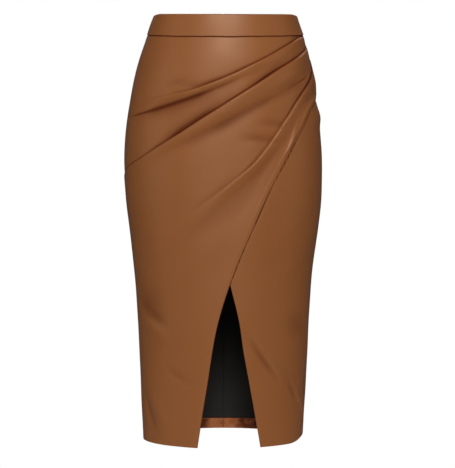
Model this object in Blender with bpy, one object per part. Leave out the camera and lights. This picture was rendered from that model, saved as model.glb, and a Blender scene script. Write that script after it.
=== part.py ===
"""Draped wrap midi skirt in faux leather, standing open as it does when worn.

Units are metres in Blender; the tables below are in millimetres and degrees, because
that is how a pattern cutter measures. +Z is up, the front faces -Y, and the origin is
the middle of the waistband, where the wearer's waist holds the skirt.

Every point of the cloth is given by three values:
  angle  degrees round the body: 0 centre front, +90 right seam (+X), -90 left seam,
         +-180 centre back
  drop   millimetres below the waist seam
  out    millimetres outside the skin, the smooth form that the cloth hangs on
"""

import math

import bpy
import numpy as np
from mathutils import Matrix, Vector

MM = 0.001

# ---------------------------------------------------------------- driving sizes, mm
BAND_HEIGHT = 36.0
SKIRT_DROP = 704.0
LEATHER = 1.5  # faux leather on its knit backing
LINING = 1.0
SEAM_GAP = 0.3  # between pieces that are sewn together
LAYER_GAP = 0.6  # between the wrap's folded edge and the panel under it
HEM_TURN = 19.0  # depth of the turned-up hem
ZIP_GAP = 1.6  # between the two back edges along the zip
ZIP_END, ZIP_FOOT = 165.0, 6.0  # drop at which the zip stops, and its gap closes
TAPE_TOP, TAPE_WIDTH, TAPE_THICK = -34.0, 11.5, 1.0

# The skin: half-widths to the left and right of the middle, depths to front and back.
SECTIONS = (
    # drop, left, right, front, back
    (-36, 120.5, 128.5, 88, 94),
    (0, 130.5, 138.5, 95, 102),
    (40, 144, 149.5, 103, 113),
    (80, 154.5, 156.5, 108, 124),
    (120, 162, 161.5, 111, 133),
    (160, 168, 167.5, 113, 138),
    (200, 171, 171, 114.5, 140),
    (240, 171, 172, 115, 139),
    (280, 169, 171, 115, 135),
    (330, 163, 166, 114, 129),
    (400, 155.5, 156.5, 111, 120),
    (470, 150, 151, 108, 113),
    (550, 146, 147.5, 105, 107),
    (630, 143, 143.5, 102, 102.5),
    (704, 140, 139.5, 100, 100),
)

# Lines across the front, from the right seam to the left one or the hem, as
# (angle, drop) points.
WAIST_LINE = ((90, SEAM_GAP), (0, SEAM_GAP), (-90, SEAM_GAP))
FIRST_TUCK = ((90, 4), (69, 7), (53, 15), (25, 40), (-3, 72), (-23, 91), (-55, 106), (-90, 118))
HIP_HOLLOW = ((90, 11), (60, 26), (30, 54), (1, 86), (-21, 106), (-54, 128), (-90, 146))
SECOND_TUCK = ((90, 18), (61, 35), (43, 51), (17, 87), (-8, 130), (-31, 172), (-53, 205), (-90, 242))
BELLY_HOLLOW = ((90, 32), (74, 51), (63, 68), (51, 82), (24, 112), (-8, 152), (-32, 188), (-90, 264))
THIRD_TUCK = ((90, 42), (76, 56), (65, 76), (51, 109), (34, 159), (18, 209), (-7, 266), (-40, 330), (-90, 390))
THIGH_HOLLOW = ((90, 62), (66, 98), (48, 142), (32, 192), (15, 246), (-14, 317), (-45, 385), (-90, 470))
HEM_LINE = ((90, 84), (67, 113), (47, 164), (27, 230), (0, 340), (-25, 465), (-55, 600), (-90, 704))
WRAP_EDGE = (
    (90, 105), (68, 124), (50, 168), (31, 243), (15, 344), (4, 424), (-3, 486), (-11, 602), (-18, 704),
)
# Edge of the panel under the wrap, from the waist down; below its crossing with the
# wrap's edge it is the other side of the slit.
UNDER_EDGE = (
    # drop, angle
    (0, -12), (200, -8), (330, -3), (424, 4), (490, 11), (533, 13.5), (603, 19), (663, 24), (704, 27.5),
)

# Folds of the wrap, in mm. Below its line a tuck stands up as a rounded edge and dies
# away over `run`; above the line the cloth dips by `dip` over `reach`. A hollow has no
# rise and dips on both sides. The four shares along the line say where the fold starts,
# is full, is still full, and has gone.
FOLDS = (
    # line, rise, run, dip, reach, starts, full, held, gone
    (FIRST_TUCK, 3.0, 26, 0.9, 14, -0.1, 0.02, 0.50, 0.78),
    (HIP_HOLLOW, 0.0, 14, 2.8, 11, 0.38, 0.58, 0.86, 1.02),
    (SECOND_TUCK, 4.2, 40, 2.4, 24, -0.1, 0.08, 0.66, 1.05),
    (BELLY_HOLLOW, 0.0, 20, 2.0, 16, 0.12, 0.22, 0.58, 0.80),
    (THIRD_TUCK, 3.8, 14, 2.4, 22, -0.1, 0.08, 0.46, 0.66),
    (THIGH_HOLLOW, 0.0, 26, 2.2, 20, 0.18, 0.32, 0.56, 0.74),
)
TUCK_ROLL = 3.0  # width over which a tuck's edge turns outwards
TUCK_FILL = 12.0  # width over which the inside of the wall catches up with it
HELD_BY_BAND = 14.0  # folds fade towards the waist seam over this drop
LAP = 35.0  # width inside the wrap's edge over which the two layers part
SINK_WAIST, SINK_FULL, SINK_RUN = 2.6, 6.5, 50.0  # how far in the hidden layer lies

# Soft drag lines: start angle and drop, end angle and drop, height, half-width.
FRONT_DRAGS = (
    (-80, 425, -38, 485, -1.6, 26),
    (-74, 590, -50, 640, 1.2, 24),
)
UNDER_DRAGS = (
    (19, 505, 62, 600, 1.3, 11),
    (16, 520, 55, 625, -1.2, 13),
    (66, 590, 86, 665, 1.4, 9),
)
BACK_DRAGS = (
    (150, 235, 108, 300, -1.8, 24),
    (-152, 250, -110, 310, -1.8, 24),
    (128, 470, 165, 520, 1.4, 22),
    (-120, 500, -160, 560, 1.2, 22),
)

# How finely each panel is cut into faces. The wrap's rows run along its lines, and each
# tuck has one more line just below it, where its edge has turned out.
WRAP_SPANS = (
    # line, spans from the line above
    (FIRST_TUCK, 3), (HIP_HOLLOW, 3), (SECOND_TUCK, 3), (BELLY_HOLLOW, 3), (THIRD_TUCK, 4),
    (THIGH_HOLLOW, 4), (HEM_LINE, 5), (WRAP_EDGE, 6),
)
WRAP_COLUMNS = 36
UNDER_ROWS, UNDER_COLUMNS = 26, 12
BACK_ROWS, BACK_COLUMNS = 22, 11
BAND_COLUMNS = 24

# The band's section, as (mm below the band's top, mm outside the skin): a folded strip
# with soft edges, standing 1 mm proud of the skirt.
BAND_SECTION = (
    (0.0, 0.1), (0.4, 0.8), (1.4, 1.0), (34.6, 1.0), (35.5, 0.7), (BAND_HEIGHT, -0.1),
    (BAND_HEIGHT, -1.2), (35.5, -1.5), (0.8, -1.5), (0.0, -1.1),
)

# Zip slider and pull, mm.
SLIDER_DROP = -29.0  # where the middle of the slider lies
PLATE_LENGTH, PLATE_WIDTH, PLATE_THICK = 9.0, 5.0, 1.1
INNER_WIDTH, INNER_THICK = 7.0, 1.4
NECK_WIDTH, NECK_LENGTH = 0.9, 7.0
EAR_LENGTH, EAR_WIDTH, EAR_GAP = 2.6, 0.9, 2.2
PIN_OUT, PIN_UP, PIN_RADIUS = 2.2, 2.4, 0.5  # from the outer plate's face and middle
EYE_RADIUS, EYE_HOLE, EYE_WIDTH = 1.5, 0.85, 1.6
TAB_LENGTH, TAB_WIDTH, TAB_THICK, TAB_TILT = 22.0, 5.6, 1.2, -5.5
TAB_SLOT_LENGTH, TAB_SLOT_WIDTH = 7.0, 2.4


# ---------------------------------------------------------------- curves and the skin
def through(xs, ys, x):
    """Smooth curve through the points (xs, ys), read at x."""
    xs = np.asarray(xs, float)
    ys = np.asarray(ys, float)
    slope = np.gradient(ys, xs, axis=0)
    i = np.clip(np.searchsorted(xs, x) - 1, 0, len(xs) - 2)
    width = xs[i + 1] - xs[i]
    u = (x - xs[i]) / width
    if ys.ndim > 1:
        width = width[..., None]
        u = u[..., None]
    ends = ys[i] * (1 + 2 * u) * (1 - u) ** 2 + ys[i + 1] * (3 - 2 * u) * u**2
    return ends + width * (slope[i] * u * (1 - u) ** 2 - slope[i + 1] * (1 - u) * u**2)


def ease(x):
    """0 below 0, 1 above 1, and smooth between."""
    x = np.clip(x, 0, 1)
    return x * x * (3 - 2 * x)


def half_sizes(angle, drop):
    """Half-width and depth of the quarter of the body that the angle lies in."""
    table = np.array(SECTIONS, float)
    left, right, front, back = (through(table[:, 0], table[:, k], drop) for k in range(1, 5))
    return np.where(angle > 0, right, left), np.where(np.abs(angle) <= 90, front, back)


def place(angle, drop, out):
    """Points in metres from angle, drop and the distance outside the skin."""
    angle, drop, out = np.broadcast_arrays(*(np.asarray(v, float) for v in (angle, drop, out)))
    wide, deep = half_sizes(angle, drop)
    east = np.sin(np.radians(angle))
    south = np.cos(np.radians(angle))
    facing = np.hypot(east / wide, south / deep)
    x = wide * east + out * east / wide / facing
    y = -deep * south - out * south / deep / facing
    return np.stack([x, y, -BAND_HEIGHT / 2 - drop], axis=-1) * MM


def mm_per_degree(angle, drop):
    """Length round the skin of one degree."""
    wide, deep = half_sizes(angle, drop)
    turn = np.radians(angle)
    return np.hypot(wide * np.cos(turn), deep * np.sin(turn)) * math.pi / 180


def moved_round(angle, drop, distance):
    """The angle that lies a distance in mm further round the skin."""
    return angle + distance / mm_per_degree(angle, drop)


def drag_relief(drags, angle, drop):
    """Height of the soft drag lines, which fade to nothing at both ends."""
    total = np.zeros(np.broadcast(angle, drop).shape)
    for angle_a, drop_a, angle_b, drop_b, height, half_width in drags:
        scale = mm_per_degree((angle_a + angle_b) / 2, (drop_a + drop_b) / 2)
        run = np.array([(angle_b - angle_a) * scale, drop_b - drop_a])
        length = np.hypot(*run)
        east = (angle - angle_a) * scale
        south = drop - drop_a
        share = (east * run[0] + south * run[1]) / length**2
        aside = (east * run[1] - south * run[0]) / length
        ends = np.sin(np.pi * np.clip(share, 0, 1)) ** 1.5
        total += height * ends * np.exp(-((aside / half_width) ** 2))
    return total


# ---------------------------------------------------------------- the wrap
def line_points(line, share):
    """(angle, drop) at each share of a line's length, from the right seam to its end."""
    points = np.array(line, float)
    middle = (points[1:] + points[:-1]) / 2
    steps = np.diff(points, axis=0)
    lengths = np.hypot(steps[:, 0] * mm_per_degree(middle[:, 0], middle[:, 1]), steps[:, 1])
    travelled = np.concatenate([[0], np.cumsum(lengths)])
    return through(travelled / travelled[-1], points, share)


def inside_wrap(angle, drop):
    """Millimetres inside the wrap's free edge; negative where the wrap doesn't reach."""
    edge = np.array(WRAP_EDGE, float)
    edge_angle = np.interp(drop, edge[:, 1], edge[:, 0])
    above = np.clip(edge[0, 1] - drop, 0, None)
    slant = 0.85  # the edge runs down at a slant, so it is nearer than straight across
    return (edge_angle - angle) * mm_per_degree(angle, drop) * slant + above


def sink(angle, drop):
    """How far the panel under the wrap lies inside the skin."""
    full = SINK_WAIST + (SINK_FULL - SINK_WAIST) * ease(drop / SINK_RUN)
    return full * ease(inside_wrap(angle, drop) / LAP)


def lift(angle, drop):
    """How far the wrap lies outside the skin, near its free edge."""
    return (LEATHER + LAYER_GAP) * (1 - ease(inside_wrap(angle, drop) / LAP))


def fold_heights(fold, share, angle, drop):
    """Heights that one fold gives to the wrap's outer and inner face."""
    line, rise, run, dip, reach, starts, full, held, gone = fold
    rail = line_points(line, share)
    scale = mm_per_degree(rail[:, 0], rail[:, 1])
    run_east = np.gradient(rail[:, 0]) * scale
    run_south = np.gradient(rail[:, 1])
    length = np.hypot(run_east, run_south)
    aside = ((angle - rail[:, 0]) * scale * run_south - (drop - rail[:, 1]) * run_east) / length
    hollow_width = np.where(aside > 0, run, reach)
    hollow = -dip * np.exp(-1.5 * (aside / hollow_width) ** 2)
    outer = inner = hollow
    if rise:
        crest = rise * np.cos(np.clip(aside / run, 0, 1) * math.pi / 2) ** 2
        outer = np.where(aside > 0, -dip + (crest + dip) * ease(aside / TUCK_ROLL), hollow)
        inner = np.where(aside > 0, -dip + (crest + dip) * ease(aside / TUCK_FILL), hollow)
    fade = ease((share - starts) / (full - starts)) * (1 - ease((share - held) / (gone - held)))
    return outer * fade, np.minimum(inner, outer) * fade


def wrap_rows():
    """The wrap's row lines from the waist seam to its free edge, as (line, drop shift)."""
    rows = [(WAIST_LINE, 0.0)]
    tucks = [fold[0] for fold in FOLDS if fold[1]]
    for line, spans in WRAP_SPANS:
        rows += [None] * (spans - 1) + [(line, 0.0)]
        if line in tucks:
            rows.append((line, TUCK_ROLL * 1.3))
    return rows


def wrap_faces():
    """Grids of the wrap's outer and inner points: rows along its lines, columns across."""
    share = np.linspace(0, 1, WRAP_COLUMNS + 1)
    rows = wrap_rows()
    known = [i for i, row in enumerate(rows) if row]
    rails = np.array([line_points(rows[i][0], share) + [0, rows[i][1]] for i in known])
    index = np.arange(len(rows))
    angle = np.array([np.interp(index, known, rails[:, j, 0]) for j in range(len(share))]).T
    drop = np.array([np.interp(index, known, rails[:, j, 1]) for j in range(len(share))]).T
    heights = [fold_heights(fold, share, angle, drop) for fold in FOLDS]
    held = ease(drop / HELD_BY_BAND)
    outer = sum(height[0] for height in heights) * held
    inner = np.minimum(sum(height[1] for height in heights) * held, outer)
    base = lift(angle, drop) + drag_relief(FRONT_DRAGS, angle, drop)
    gap = SEAM_GAP / 2 / mm_per_degree(angle, drop)
    angle = np.clip(angle, -90 + gap, 90 - gap)
    return place(angle, drop, base + outer), place(angle, drop, base + inner - LEATHER)


# ---------------------------------------------------------------- the other panels
def under_faces():
    """Grids of the under panel's outer and inner points, from its edge to the right seam."""
    edge = np.array(UNDER_EDGE, float)
    drop = np.linspace(SEAM_GAP, SKIRT_DROP, UNDER_ROWS + 1)[:, None]
    near = through(edge[:, 0], edge[:, 1], drop)
    far = moved_round(90, drop, -SEAM_GAP / 2)
    angle = near + (far - near) * np.linspace(0, 1, UNDER_COLUMNS + 1)
    out = drag_relief(UNDER_DRAGS, angle, drop) - sink(angle, drop)
    return place(angle, drop, out), place(angle, drop, out - LEATHER)


def back_angles(side, drop):
    """Angles of a back panel's columns, from the centre back to its side seam."""
    centre_gap = ZIP_GAP / 2 + (SEAM_GAP - ZIP_GAP) / 2 * ease((drop - ZIP_END) / ZIP_FOOT)
    near = moved_round(side * 180, drop, -side * centre_gap)
    far = moved_round(side * 90, drop, side * SEAM_GAP / 2)
    return near + (far - near) * np.linspace(0, 1, BACK_COLUMNS + 1)


def back_drops(first, last):
    """Drops of the back's rows between two heights, the same on every layer."""
    rows = np.linspace(SEAM_GAP, SKIRT_DROP, BACK_ROWS + 1)
    rows = np.concatenate([rows, [ZIP_END, ZIP_END + ZIP_FOOT]])
    between = rows[(rows > first + SEAM_GAP) & (rows < last - SEAM_GAP)]
    return np.unique(np.concatenate([[first], between, [last]]))[:, None]


def back_points(side, drop, out):
    """Points of a back layer, on the same columns as the panel."""
    angle = back_angles(side, drop)
    return place(angle, drop, out + drag_relief(BACK_DRAGS, angle, drop))


def part_way(points, width):
    """Points a width in mm along the span from the first column to the second."""
    span = points[:, 1:2] - points[:, :1]
    return points[:, :1] + span * (width * MM / np.linalg.norm(span, axis=-1, keepdims=True))


def back_faces(side, first, last, nearest, thick, beside_zip=0.0):
    """Grids of one layer of the back: outer and inner points.

    The layer's outer face lies `nearest` mm outside the skin. Beside the zip it starts
    `beside_zip` mm from the panel's edge.
    """
    drop = back_drops(first, last)
    width = beside_zip * (1 - ease((drop - ZIP_END) / ZIP_FOOT))[..., None]
    faces = [back_points(side, drop, out) for out in (nearest, nearest - thick)]
    for points in faces:
        points[:, :1] = part_way(points, width)
    return faces


def band_rings(start, end, columns):
    """The waistband's section swept from one angle to another."""
    section = np.array(BAND_SECTION)
    drop = section[:, 0] - BAND_HEIGHT
    share = np.linspace(0, 1, columns + 1)[:, None]
    return place(start(drop) + (end(drop) - start(drop)) * share, drop, section[:, 1])


def tape_faces(side):
    """Grids of one zip tape, behind the edge of the band and of the back panel."""
    in_band = np.linspace(TAPE_TOP, 0, 3)[:-1]
    drop = np.concatenate([in_band, back_drops(SEAM_GAP, ZIP_END)[:, 0]])[:, None]
    nearest = -LEATHER - SEAM_GAP
    faces = []
    for out in (nearest, nearest - TAPE_THICK):
        points = back_points(side, drop, out)
        faces.append(np.concatenate([points[:, :1], part_way(points, TAPE_WIDTH)], axis=1))
    return faces


# ---------------------------------------------------------------- Blender objects
def srgb(red, green, blue):
    """Linear colour from 0-255 sRGB values."""
    values = np.array([red, green, blue]) / 255
    linear = np.where(values <= 0.04045, values / 12.92, ((values + 0.055) / 1.055) ** 2.4)
    return (*linear, 1.0)


def material(name, colour, roughness, metallic=0.0):
    """A Principled material."""
    made = bpy.data.materials.new(name)
    made.use_nodes = True
    shader = made.node_tree.nodes["Principled BSDF"]
    shader.inputs["Base Color"].default_value = colour
    shader.inputs["Roughness"].default_value = roughness
    shader.inputs["Metallic"].default_value = metallic
    return made


def new_object(name, vertices, faces, finish):
    """A mesh object from vertices and faces, with its normals turned outwards."""
    mesh = bpy.data.meshes.new(name)
    mesh.from_pydata([tuple(v) for v in vertices], [], faces)
    mesh.materials.append(finish)
    mesh.update()
    volume = sum(
        Vector(vertices[f[0]]).dot(Vector(vertices[f[k]]).cross(Vector(vertices[f[k + 1]])))
        for f in faces
        for k in range(1, len(f) - 1)
    )
    if volume < 0:
        mesh.flip_normals()
    made = bpy.data.objects.new(name, mesh)
    bpy.context.scene.collection.objects.link(made)
    mesh.shade_smooth()
    mesh.set_sharp_from_angle(angle=math.radians(35))
    return made


def wall(name, faces, finish):
    """A closed wall between a grid of outer points and one of inner points."""
    outer, inner = faces
    rows, columns = outer.shape[:2]
    inner_start = rows * columns
    quads = []
    for r in range(rows - 1):
        for c in range(columns - 1):
            a = r * columns + c
            b = a + columns
            quads.append((a, a + 1, b + 1, b))
            quads.append((inner_start + a, inner_start + b, inner_start + b + 1, inner_start + a + 1))
    top = list(range(columns))
    right = [r * columns + columns - 1 for r in range(1, rows)]
    bottom = [(rows - 1) * columns + c for c in range(columns - 2, -1, -1)]
    left = [r * columns for r in range(rows - 2, -1, -1)]
    rim = top + right + bottom + left
    for a, b in zip(rim, rim[1:]):
        quads.append((b, a, inner_start + a, inner_start + b))
    vertices = np.concatenate([outer.reshape(-1, 3), inner.reshape(-1, 3)])
    return new_object(name, vertices, quads, finish)


def swept(name, rings, finish):
    """A closed solid swept through rings of points, with capped ends."""
    count, size = rings.shape[:2]
    faces = [tuple(reversed(range(size))), tuple(range((count - 1) * size, count * size))]
    for r in range(count - 1):
        for k in range(size):
            a = r * size + k
            b = r * size + (k + 1) % size
            faces.append((a, b, b + size, a + size))
    return new_object(name, rings.reshape(-1, 3), faces, finish)


def box(name, size, centre, finish):
    """A box of a size in mm at a centre in mm, in the slider's frame."""
    corners = np.array([(x, y, z) for x in (-0.5, 0.5) for y in (-0.5, 0.5) for z in (-0.5, 0.5)])
    faces = ((0, 1, 3, 2), (4, 6, 7, 5), (0, 4, 5, 1), (2, 3, 7, 6), (0, 2, 6, 4), (1, 5, 7, 3))
    return new_object(name, (corners * size + centre) * MM, faces, finish)


def rod(name, radius, length, centre, finish, sides=16):
    """A round rod along X, in the slider's frame."""
    turn = np.arange(sides) * 2 * math.pi / sides
    circle = np.stack([np.zeros(sides), np.cos(turn) * radius, np.sin(turn) * radius], axis=-1)
    rings = np.array([circle + [x, 0, 0] + np.array(centre) for x in (-length / 2, length / 2)])
    return swept(name, rings * MM, finish)


def combine(base, others, operation):
    """Adds or cuts the other objects into the base for good."""
    for other in others:
        modifier = base.modifiers.new(operation, "BOOLEAN")
        modifier.operation = operation
        modifier.object = other
        bpy.context.view_layer.update()
        evaluated = base.evaluated_get(bpy.context.evaluated_depsgraph_get())
        mesh = bpy.data.meshes.new_from_object(evaluated)
        base.modifiers.clear()
        base.data = mesh
        bpy.data.objects.remove(other)
    return base


# ---------------------------------------------------------------- the pieces
def make_waistband(leather):
    """Front band and two back bands, which the zip parts."""
    seam = SEAM_GAP / 2
    swept(
        "waistband_front",
        band_rings(
            lambda drop: moved_round(-90, drop, seam),
            lambda drop: moved_round(90, drop, -seam),
            BAND_COLUMNS,
        ),
        leather,
    )
    for side, name in ((-1, "waistband_back_left"), (1, "waistband_back_right")):
        rings = band_rings(
            lambda drop, side=side: moved_round(side * 90, drop, side * seam),
            lambda drop, side=side: moved_round(side * 180, drop, -side * ZIP_GAP / 2),
            BACK_COLUMNS,
        )
        swept(name, rings, leather)


def make_panels(leather):
    """The outer cloth: wrap, under panel and the two backs."""
    wall("front_wrap", wrap_faces(), leather)
    wall("front_under", under_faces(), leather)
    for side, name in ((-1, "back_left"), (1, "back_right")):
        wall(name, back_faces(side, SEAM_GAP, SKIRT_DROP, 0.0, LEATHER), leather)


def make_inside(lining, facing):
    """What shows through the slit: the back's lining and its turned-up hem."""
    against = -LEATHER - SEAM_GAP
    turn = SKIRT_DROP - HEM_TURN
    for side, word in ((-1, "left"), (1, "right")):
        faces = back_faces(side, 1.0, turn - SEAM_GAP, against, LINING, TAPE_WIDTH + SEAM_GAP * 2)
        wall(f"lining_back_{word}", faces, lining)
        faces = back_faces(side, turn, SKIRT_DROP, against, LEATHER)
        wall(f"hem_facing_back_{word}", faces, facing)


def make_zip(tape, metal):
    """Tapes, slider and pull of the concealed zip at the centre back."""
    for side, word in ((-1, "left"), (1, "right")):
        wall(f"zip_tape_{word}", tape_faces(side), tape)

    # The slider's frame: X to the right, Y out of the back, Z up along the band.
    above, middle, below = place(180, SLIDER_DROP + np.array([-4, 0, 4]), BAND_SECTION[2][1])
    up = Vector(above - below).normalized()
    outwards = up.cross(Vector((1, 0, 0)))
    frame = Matrix((Vector((1, 0, 0)), outwards, up)).transposed().to_4x4()
    frame.translation = Vector(middle)

    plate_middle = SEAM_GAP + PLATE_THICK / 2
    inner_face = BAND_SECTION[2][1] + LEATHER + SEAM_GAP * 2 + TAPE_THICK
    inner_middle = -inner_face - INNER_THICK / 2
    neck_length = plate_middle - inner_middle
    pin_out = SEAM_GAP + PLATE_THICK + PIN_OUT
    slider = box("zip_slider", (PLATE_WIDTH, PLATE_THICK, PLATE_LENGTH), (0, plate_middle, 0), metal)
    neck_middle = (plate_middle + inner_middle) / 2
    pieces = [
        box("neck", (NECK_WIDTH, neck_length, NECK_LENGTH), (0, neck_middle, 0), metal),
        box("inner", (INNER_WIDTH, INNER_THICK, PLATE_LENGTH), (0, inner_middle, 0), metal),
    ]
    ear_height = PIN_OUT + PIN_RADIUS * 2
    for sign in (-1, 1):
        across = sign * (EAR_GAP + EAR_WIDTH) / 2
        centre = (across, plate_middle + ear_height / 2, PIN_UP)
        pieces.append(box("ear", (EAR_WIDTH, ear_height, EAR_LENGTH), centre, metal))
    pieces.append(rod("pin", PIN_RADIUS, EAR_GAP + EAR_WIDTH, (0, pin_out, PIN_UP), metal))
    combine(slider, pieces, "UNION")
    slider.data.transform(frame)

    # The pull turns about the pin: its origin is there, and it hangs down the band.
    pull = rod("zip_pull", EYE_RADIUS, EYE_WIDTH, (0, 0, 0), metal, sides=20)
    tab_top = -EYE_HOLE - 0.3
    tab_middle = tab_top - TAB_LENGTH / 2
    tab = box("tab", (TAB_WIDTH, TAB_THICK, TAB_LENGTH), (0, 0, tab_middle - EYE_RADIUS), metal)
    neck = box("tab_neck", (EYE_WIDTH, TAB_THICK, EYE_RADIUS * 2), (0, 0, tab_top - 0.6), metal)
    hole = rod("eye_hole", EYE_HOLE, EYE_WIDTH * 2, (0, 0, 0), metal)
    slot_middle = tab_middle - EYE_RADIUS - TAB_LENGTH / 2 + TAB_SLOT_LENGTH
    slot_size = (TAB_SLOT_WIDTH, TAB_THICK * 2, TAB_SLOT_LENGTH)
    slot = box("slot", slot_size, (0, 0, slot_middle), metal)
    combine(pull, [tab, neck], "UNION")
    combine(pull, [hole, slot], "DIFFERENCE")
    pull.matrix_world = (
        frame
        @ Matrix.Translation(Vector((0, pin_out, PIN_UP)) * MM)
        @ Matrix.Rotation(math.radians(TAB_TILT), 4, "X")
    )
    for piece in (slider, pull):
        piece.data.shade_smooth()
        piece.data.set_sharp_from_angle(angle=math.radians(35))


def main():
    for old in list(bpy.data.objects):
        bpy.data.objects.remove(old)
    leather = material("brown_faux_leather", srgb(139, 90, 56), 0.38)
    facing = material("turned_hem", srgb(120, 70, 38), 0.42)
    lining = material("black_lining", srgb(28, 28, 26), 0.5)
    tape = material("brown_zip_tape", srgb(84, 54, 36), 0.8)
    metal = material("brass", srgb(176, 142, 92), 0.3, 1.0)
    make_waistband(leather)
    make_panels(leather)
    make_inside(lining, facing)
    make_zip(tape, metal)


main()
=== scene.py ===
"""Looks of a draped wrap midi skirt: its cloth, lining, sewing, zip and a plain studio.

Places on the skirt are given as the cutter sees them. An angle runs round the body in
degrees: 0 at the centre front, +90 at the right seam (+X), -90 at the left seam and
+-180 at the centre back. A drop is millimetres below the waist seam, and out is
millimetres outside the skin, the smooth form that the cloth hangs on.
"""

import logging
import math
from dataclasses import dataclass
from enum import Enum
from typing import Any

import bmesh
import bpy
import numpy as np
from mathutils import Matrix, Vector


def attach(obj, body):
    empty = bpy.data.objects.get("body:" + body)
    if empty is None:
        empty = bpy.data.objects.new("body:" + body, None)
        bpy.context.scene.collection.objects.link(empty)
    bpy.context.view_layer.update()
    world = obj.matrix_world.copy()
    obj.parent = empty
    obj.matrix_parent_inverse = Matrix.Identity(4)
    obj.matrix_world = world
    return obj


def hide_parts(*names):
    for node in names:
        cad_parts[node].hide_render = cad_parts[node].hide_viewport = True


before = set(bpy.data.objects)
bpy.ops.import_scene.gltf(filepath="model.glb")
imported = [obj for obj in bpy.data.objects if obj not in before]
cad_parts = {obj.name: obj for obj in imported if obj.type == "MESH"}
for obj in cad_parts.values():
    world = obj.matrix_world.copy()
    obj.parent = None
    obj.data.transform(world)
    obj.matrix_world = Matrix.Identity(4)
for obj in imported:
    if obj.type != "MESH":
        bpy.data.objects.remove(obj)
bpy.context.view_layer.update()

LOG = logging.getLogger("skirt")
MM = 0.001
Table = tuple[tuple[float, float], ...]
Finishes = tuple[bpy.types.Material, bpy.types.Material]

# ---------------------------------------------------------------- sizes, in mm
# As the solids have them.
BAND_HEIGHT = 36.0
SKIRT_DROP = 704.0
LEATHER = 1.5
SEAM_GAP = 0.3
LAYER_GAP = 0.6
HEM_TURN = 19.0
ZIP_GAP = 1.6
ZIP_END = 165.0
ZIP_FOOT = 6.0  # over which the zip's gap closes
TAPE_TOP = -34.0
TAPE_WIDTH = 11.5

# As the cloth looks.
SEWN_GAP = 0.04  # of a seam that its stitches draw shut
LINING_WALL = 0.5
TAPE_WALL = 0.7
ROUND_PER_DEGREE = 2.4  # of cloth to a degree round the body, on average
UNEVENNESS = 0.05  # height of the waves that all soft cloth has
WAIST_SAG = 1.1  # of the waist seam, at the centre front
HEM_RISE = 9.5  # of the hem, at the right side seam
EDGE_SHOWS = 100.0  # drop just above the place where the wrap's edge leaves the side seam

# Distances from a panel's border, a tuck's line and a hollow's line at which the mesh has
# a row, so that edges turn smoothly and folds are crisp.
RIM = (0.0, 0.12, 0.32, 0.6, 1.0, 1.6, 2.4, 3.6)
ABOVE_TUCK = (9.0, 6.5, 4.6, 3.2, 2.2, 1.5, 0.95, 0.5, 0.2)
BELOW_TUCK = (0.2, 0.5, 0.85, 1.25, 1.8, 2.5, 3.5, 5.0, 7.0, 10.0)
ABOVE_HOLLOW = (6.0, 4.0, 2.6, 1.5, 0.7)
BELOW_HOLLOW = (0.7, 1.5, 2.6, 4.0, 6.0)


class Side(Enum):
    """The two halves of the back."""

    LEFT = -1
    RIGHT = 1

    @property
    def word(self) -> str:
        """The side's name, as the nodes have it."""
        return self.name.lower()


class Edge(Enum):
    """How a border of a panel is finished, with its painted shade: how dark, and mm wide."""

    SEWN = (0.85, 1.1)
    FOLDED = (0.3, 0.6)


# ---------------------------------------------------------------- curves
def through(xs: Any, ys: Any, x: Any) -> np.ndarray:
    """Read a smooth curve through points.

    Args:
        xs: Rising places of the points.
        ys: Values there, one number or one row each.
        x: Where the curve is read.

    Returns:
        The values at x.
    """
    xs = np.asarray(xs, float)
    ys = np.asarray(ys, float)
    slope = np.gradient(ys, xs, axis=0)
    i = np.clip(np.searchsorted(xs, x) - 1, 0, len(xs) - 2)
    width = xs[i + 1] - xs[i]
    u = (x - xs[i]) / width
    if ys.ndim > 1:
        width = width[..., None]
        u = u[..., None]
    ends = ys[i] * (1 + 2 * u) * (1 - u) ** 2 + ys[i + 1] * (3 - 2 * u) * u**2
    return ends + width * (slope[i] * u * (1 - u) ** 2 - slope[i + 1] * (1 - u) * u**2)


def ease(x: Any) -> np.ndarray:
    """Give 0 below 0, 1 above 1, and a smooth step between."""
    x = np.clip(x, 0, 1)
    return x * x * (3 - 2 * x)


def bell(distance: Any, width: Any) -> np.ndarray:
    """Give 1 at no distance, fading to nothing within about two widths."""
    return np.exp(-((distance / width) ** 2))


def graded(table: Table, x: Any) -> np.ndarray:
    """Read a table of (place, value) with smooth steps that never overshoot.

    Args:
        table: Pairs of (place, value), with rising places.
        x: Where the table is read.

    Returns:
        The values at x.
    """
    places, values = np.array(table, float).T
    i = np.clip(np.searchsorted(places, x) - 1, 0, len(places) - 2)
    part = ease((x - places[i]) / (places[i + 1] - places[i]))
    return values[i] + (values[i + 1] - values[i]) * part


def spaced(first: Any, last: Any, count: int, rim_first: Any, rim_last: Any) -> np.ndarray:
    """Spread rows or columns between two borders, closer together at the borders.

    Args:
        first: Place of the first border, one for each line across.
        last: Place of the last border.
        count: Number of even steps in the middle.
        rim_first: Distances from the first border, in the places' own units.
        rim_last: Distances from the last border.

    Returns:
        Places, with the spread on the last axis.
    """
    start = first + np.sign(last - first) * rim_first
    end = (last - np.sign(last - first) * rim_last)[..., ::-1]
    middle = np.linspace(0, 1, count + 1)[1:-1]
    between = start[..., -1:] + (end[..., :1] - start[..., -1:]) * middle
    return np.concatenate([start, between, end], axis=-1)


def level_rows(top: float, foot: float, count: int) -> np.ndarray:
    """Spread the drops of a panel's level rows of mesh points, one to a row."""
    rim = np.array(RIM)
    return spaced(top, foot, count, rim, rim)[:, None]


@dataclass(frozen=True)
class Section:
    """Half-widths and depths of the skin at one drop, in mm."""

    drop: float
    left: float
    right: float
    front: float
    back: float


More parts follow.
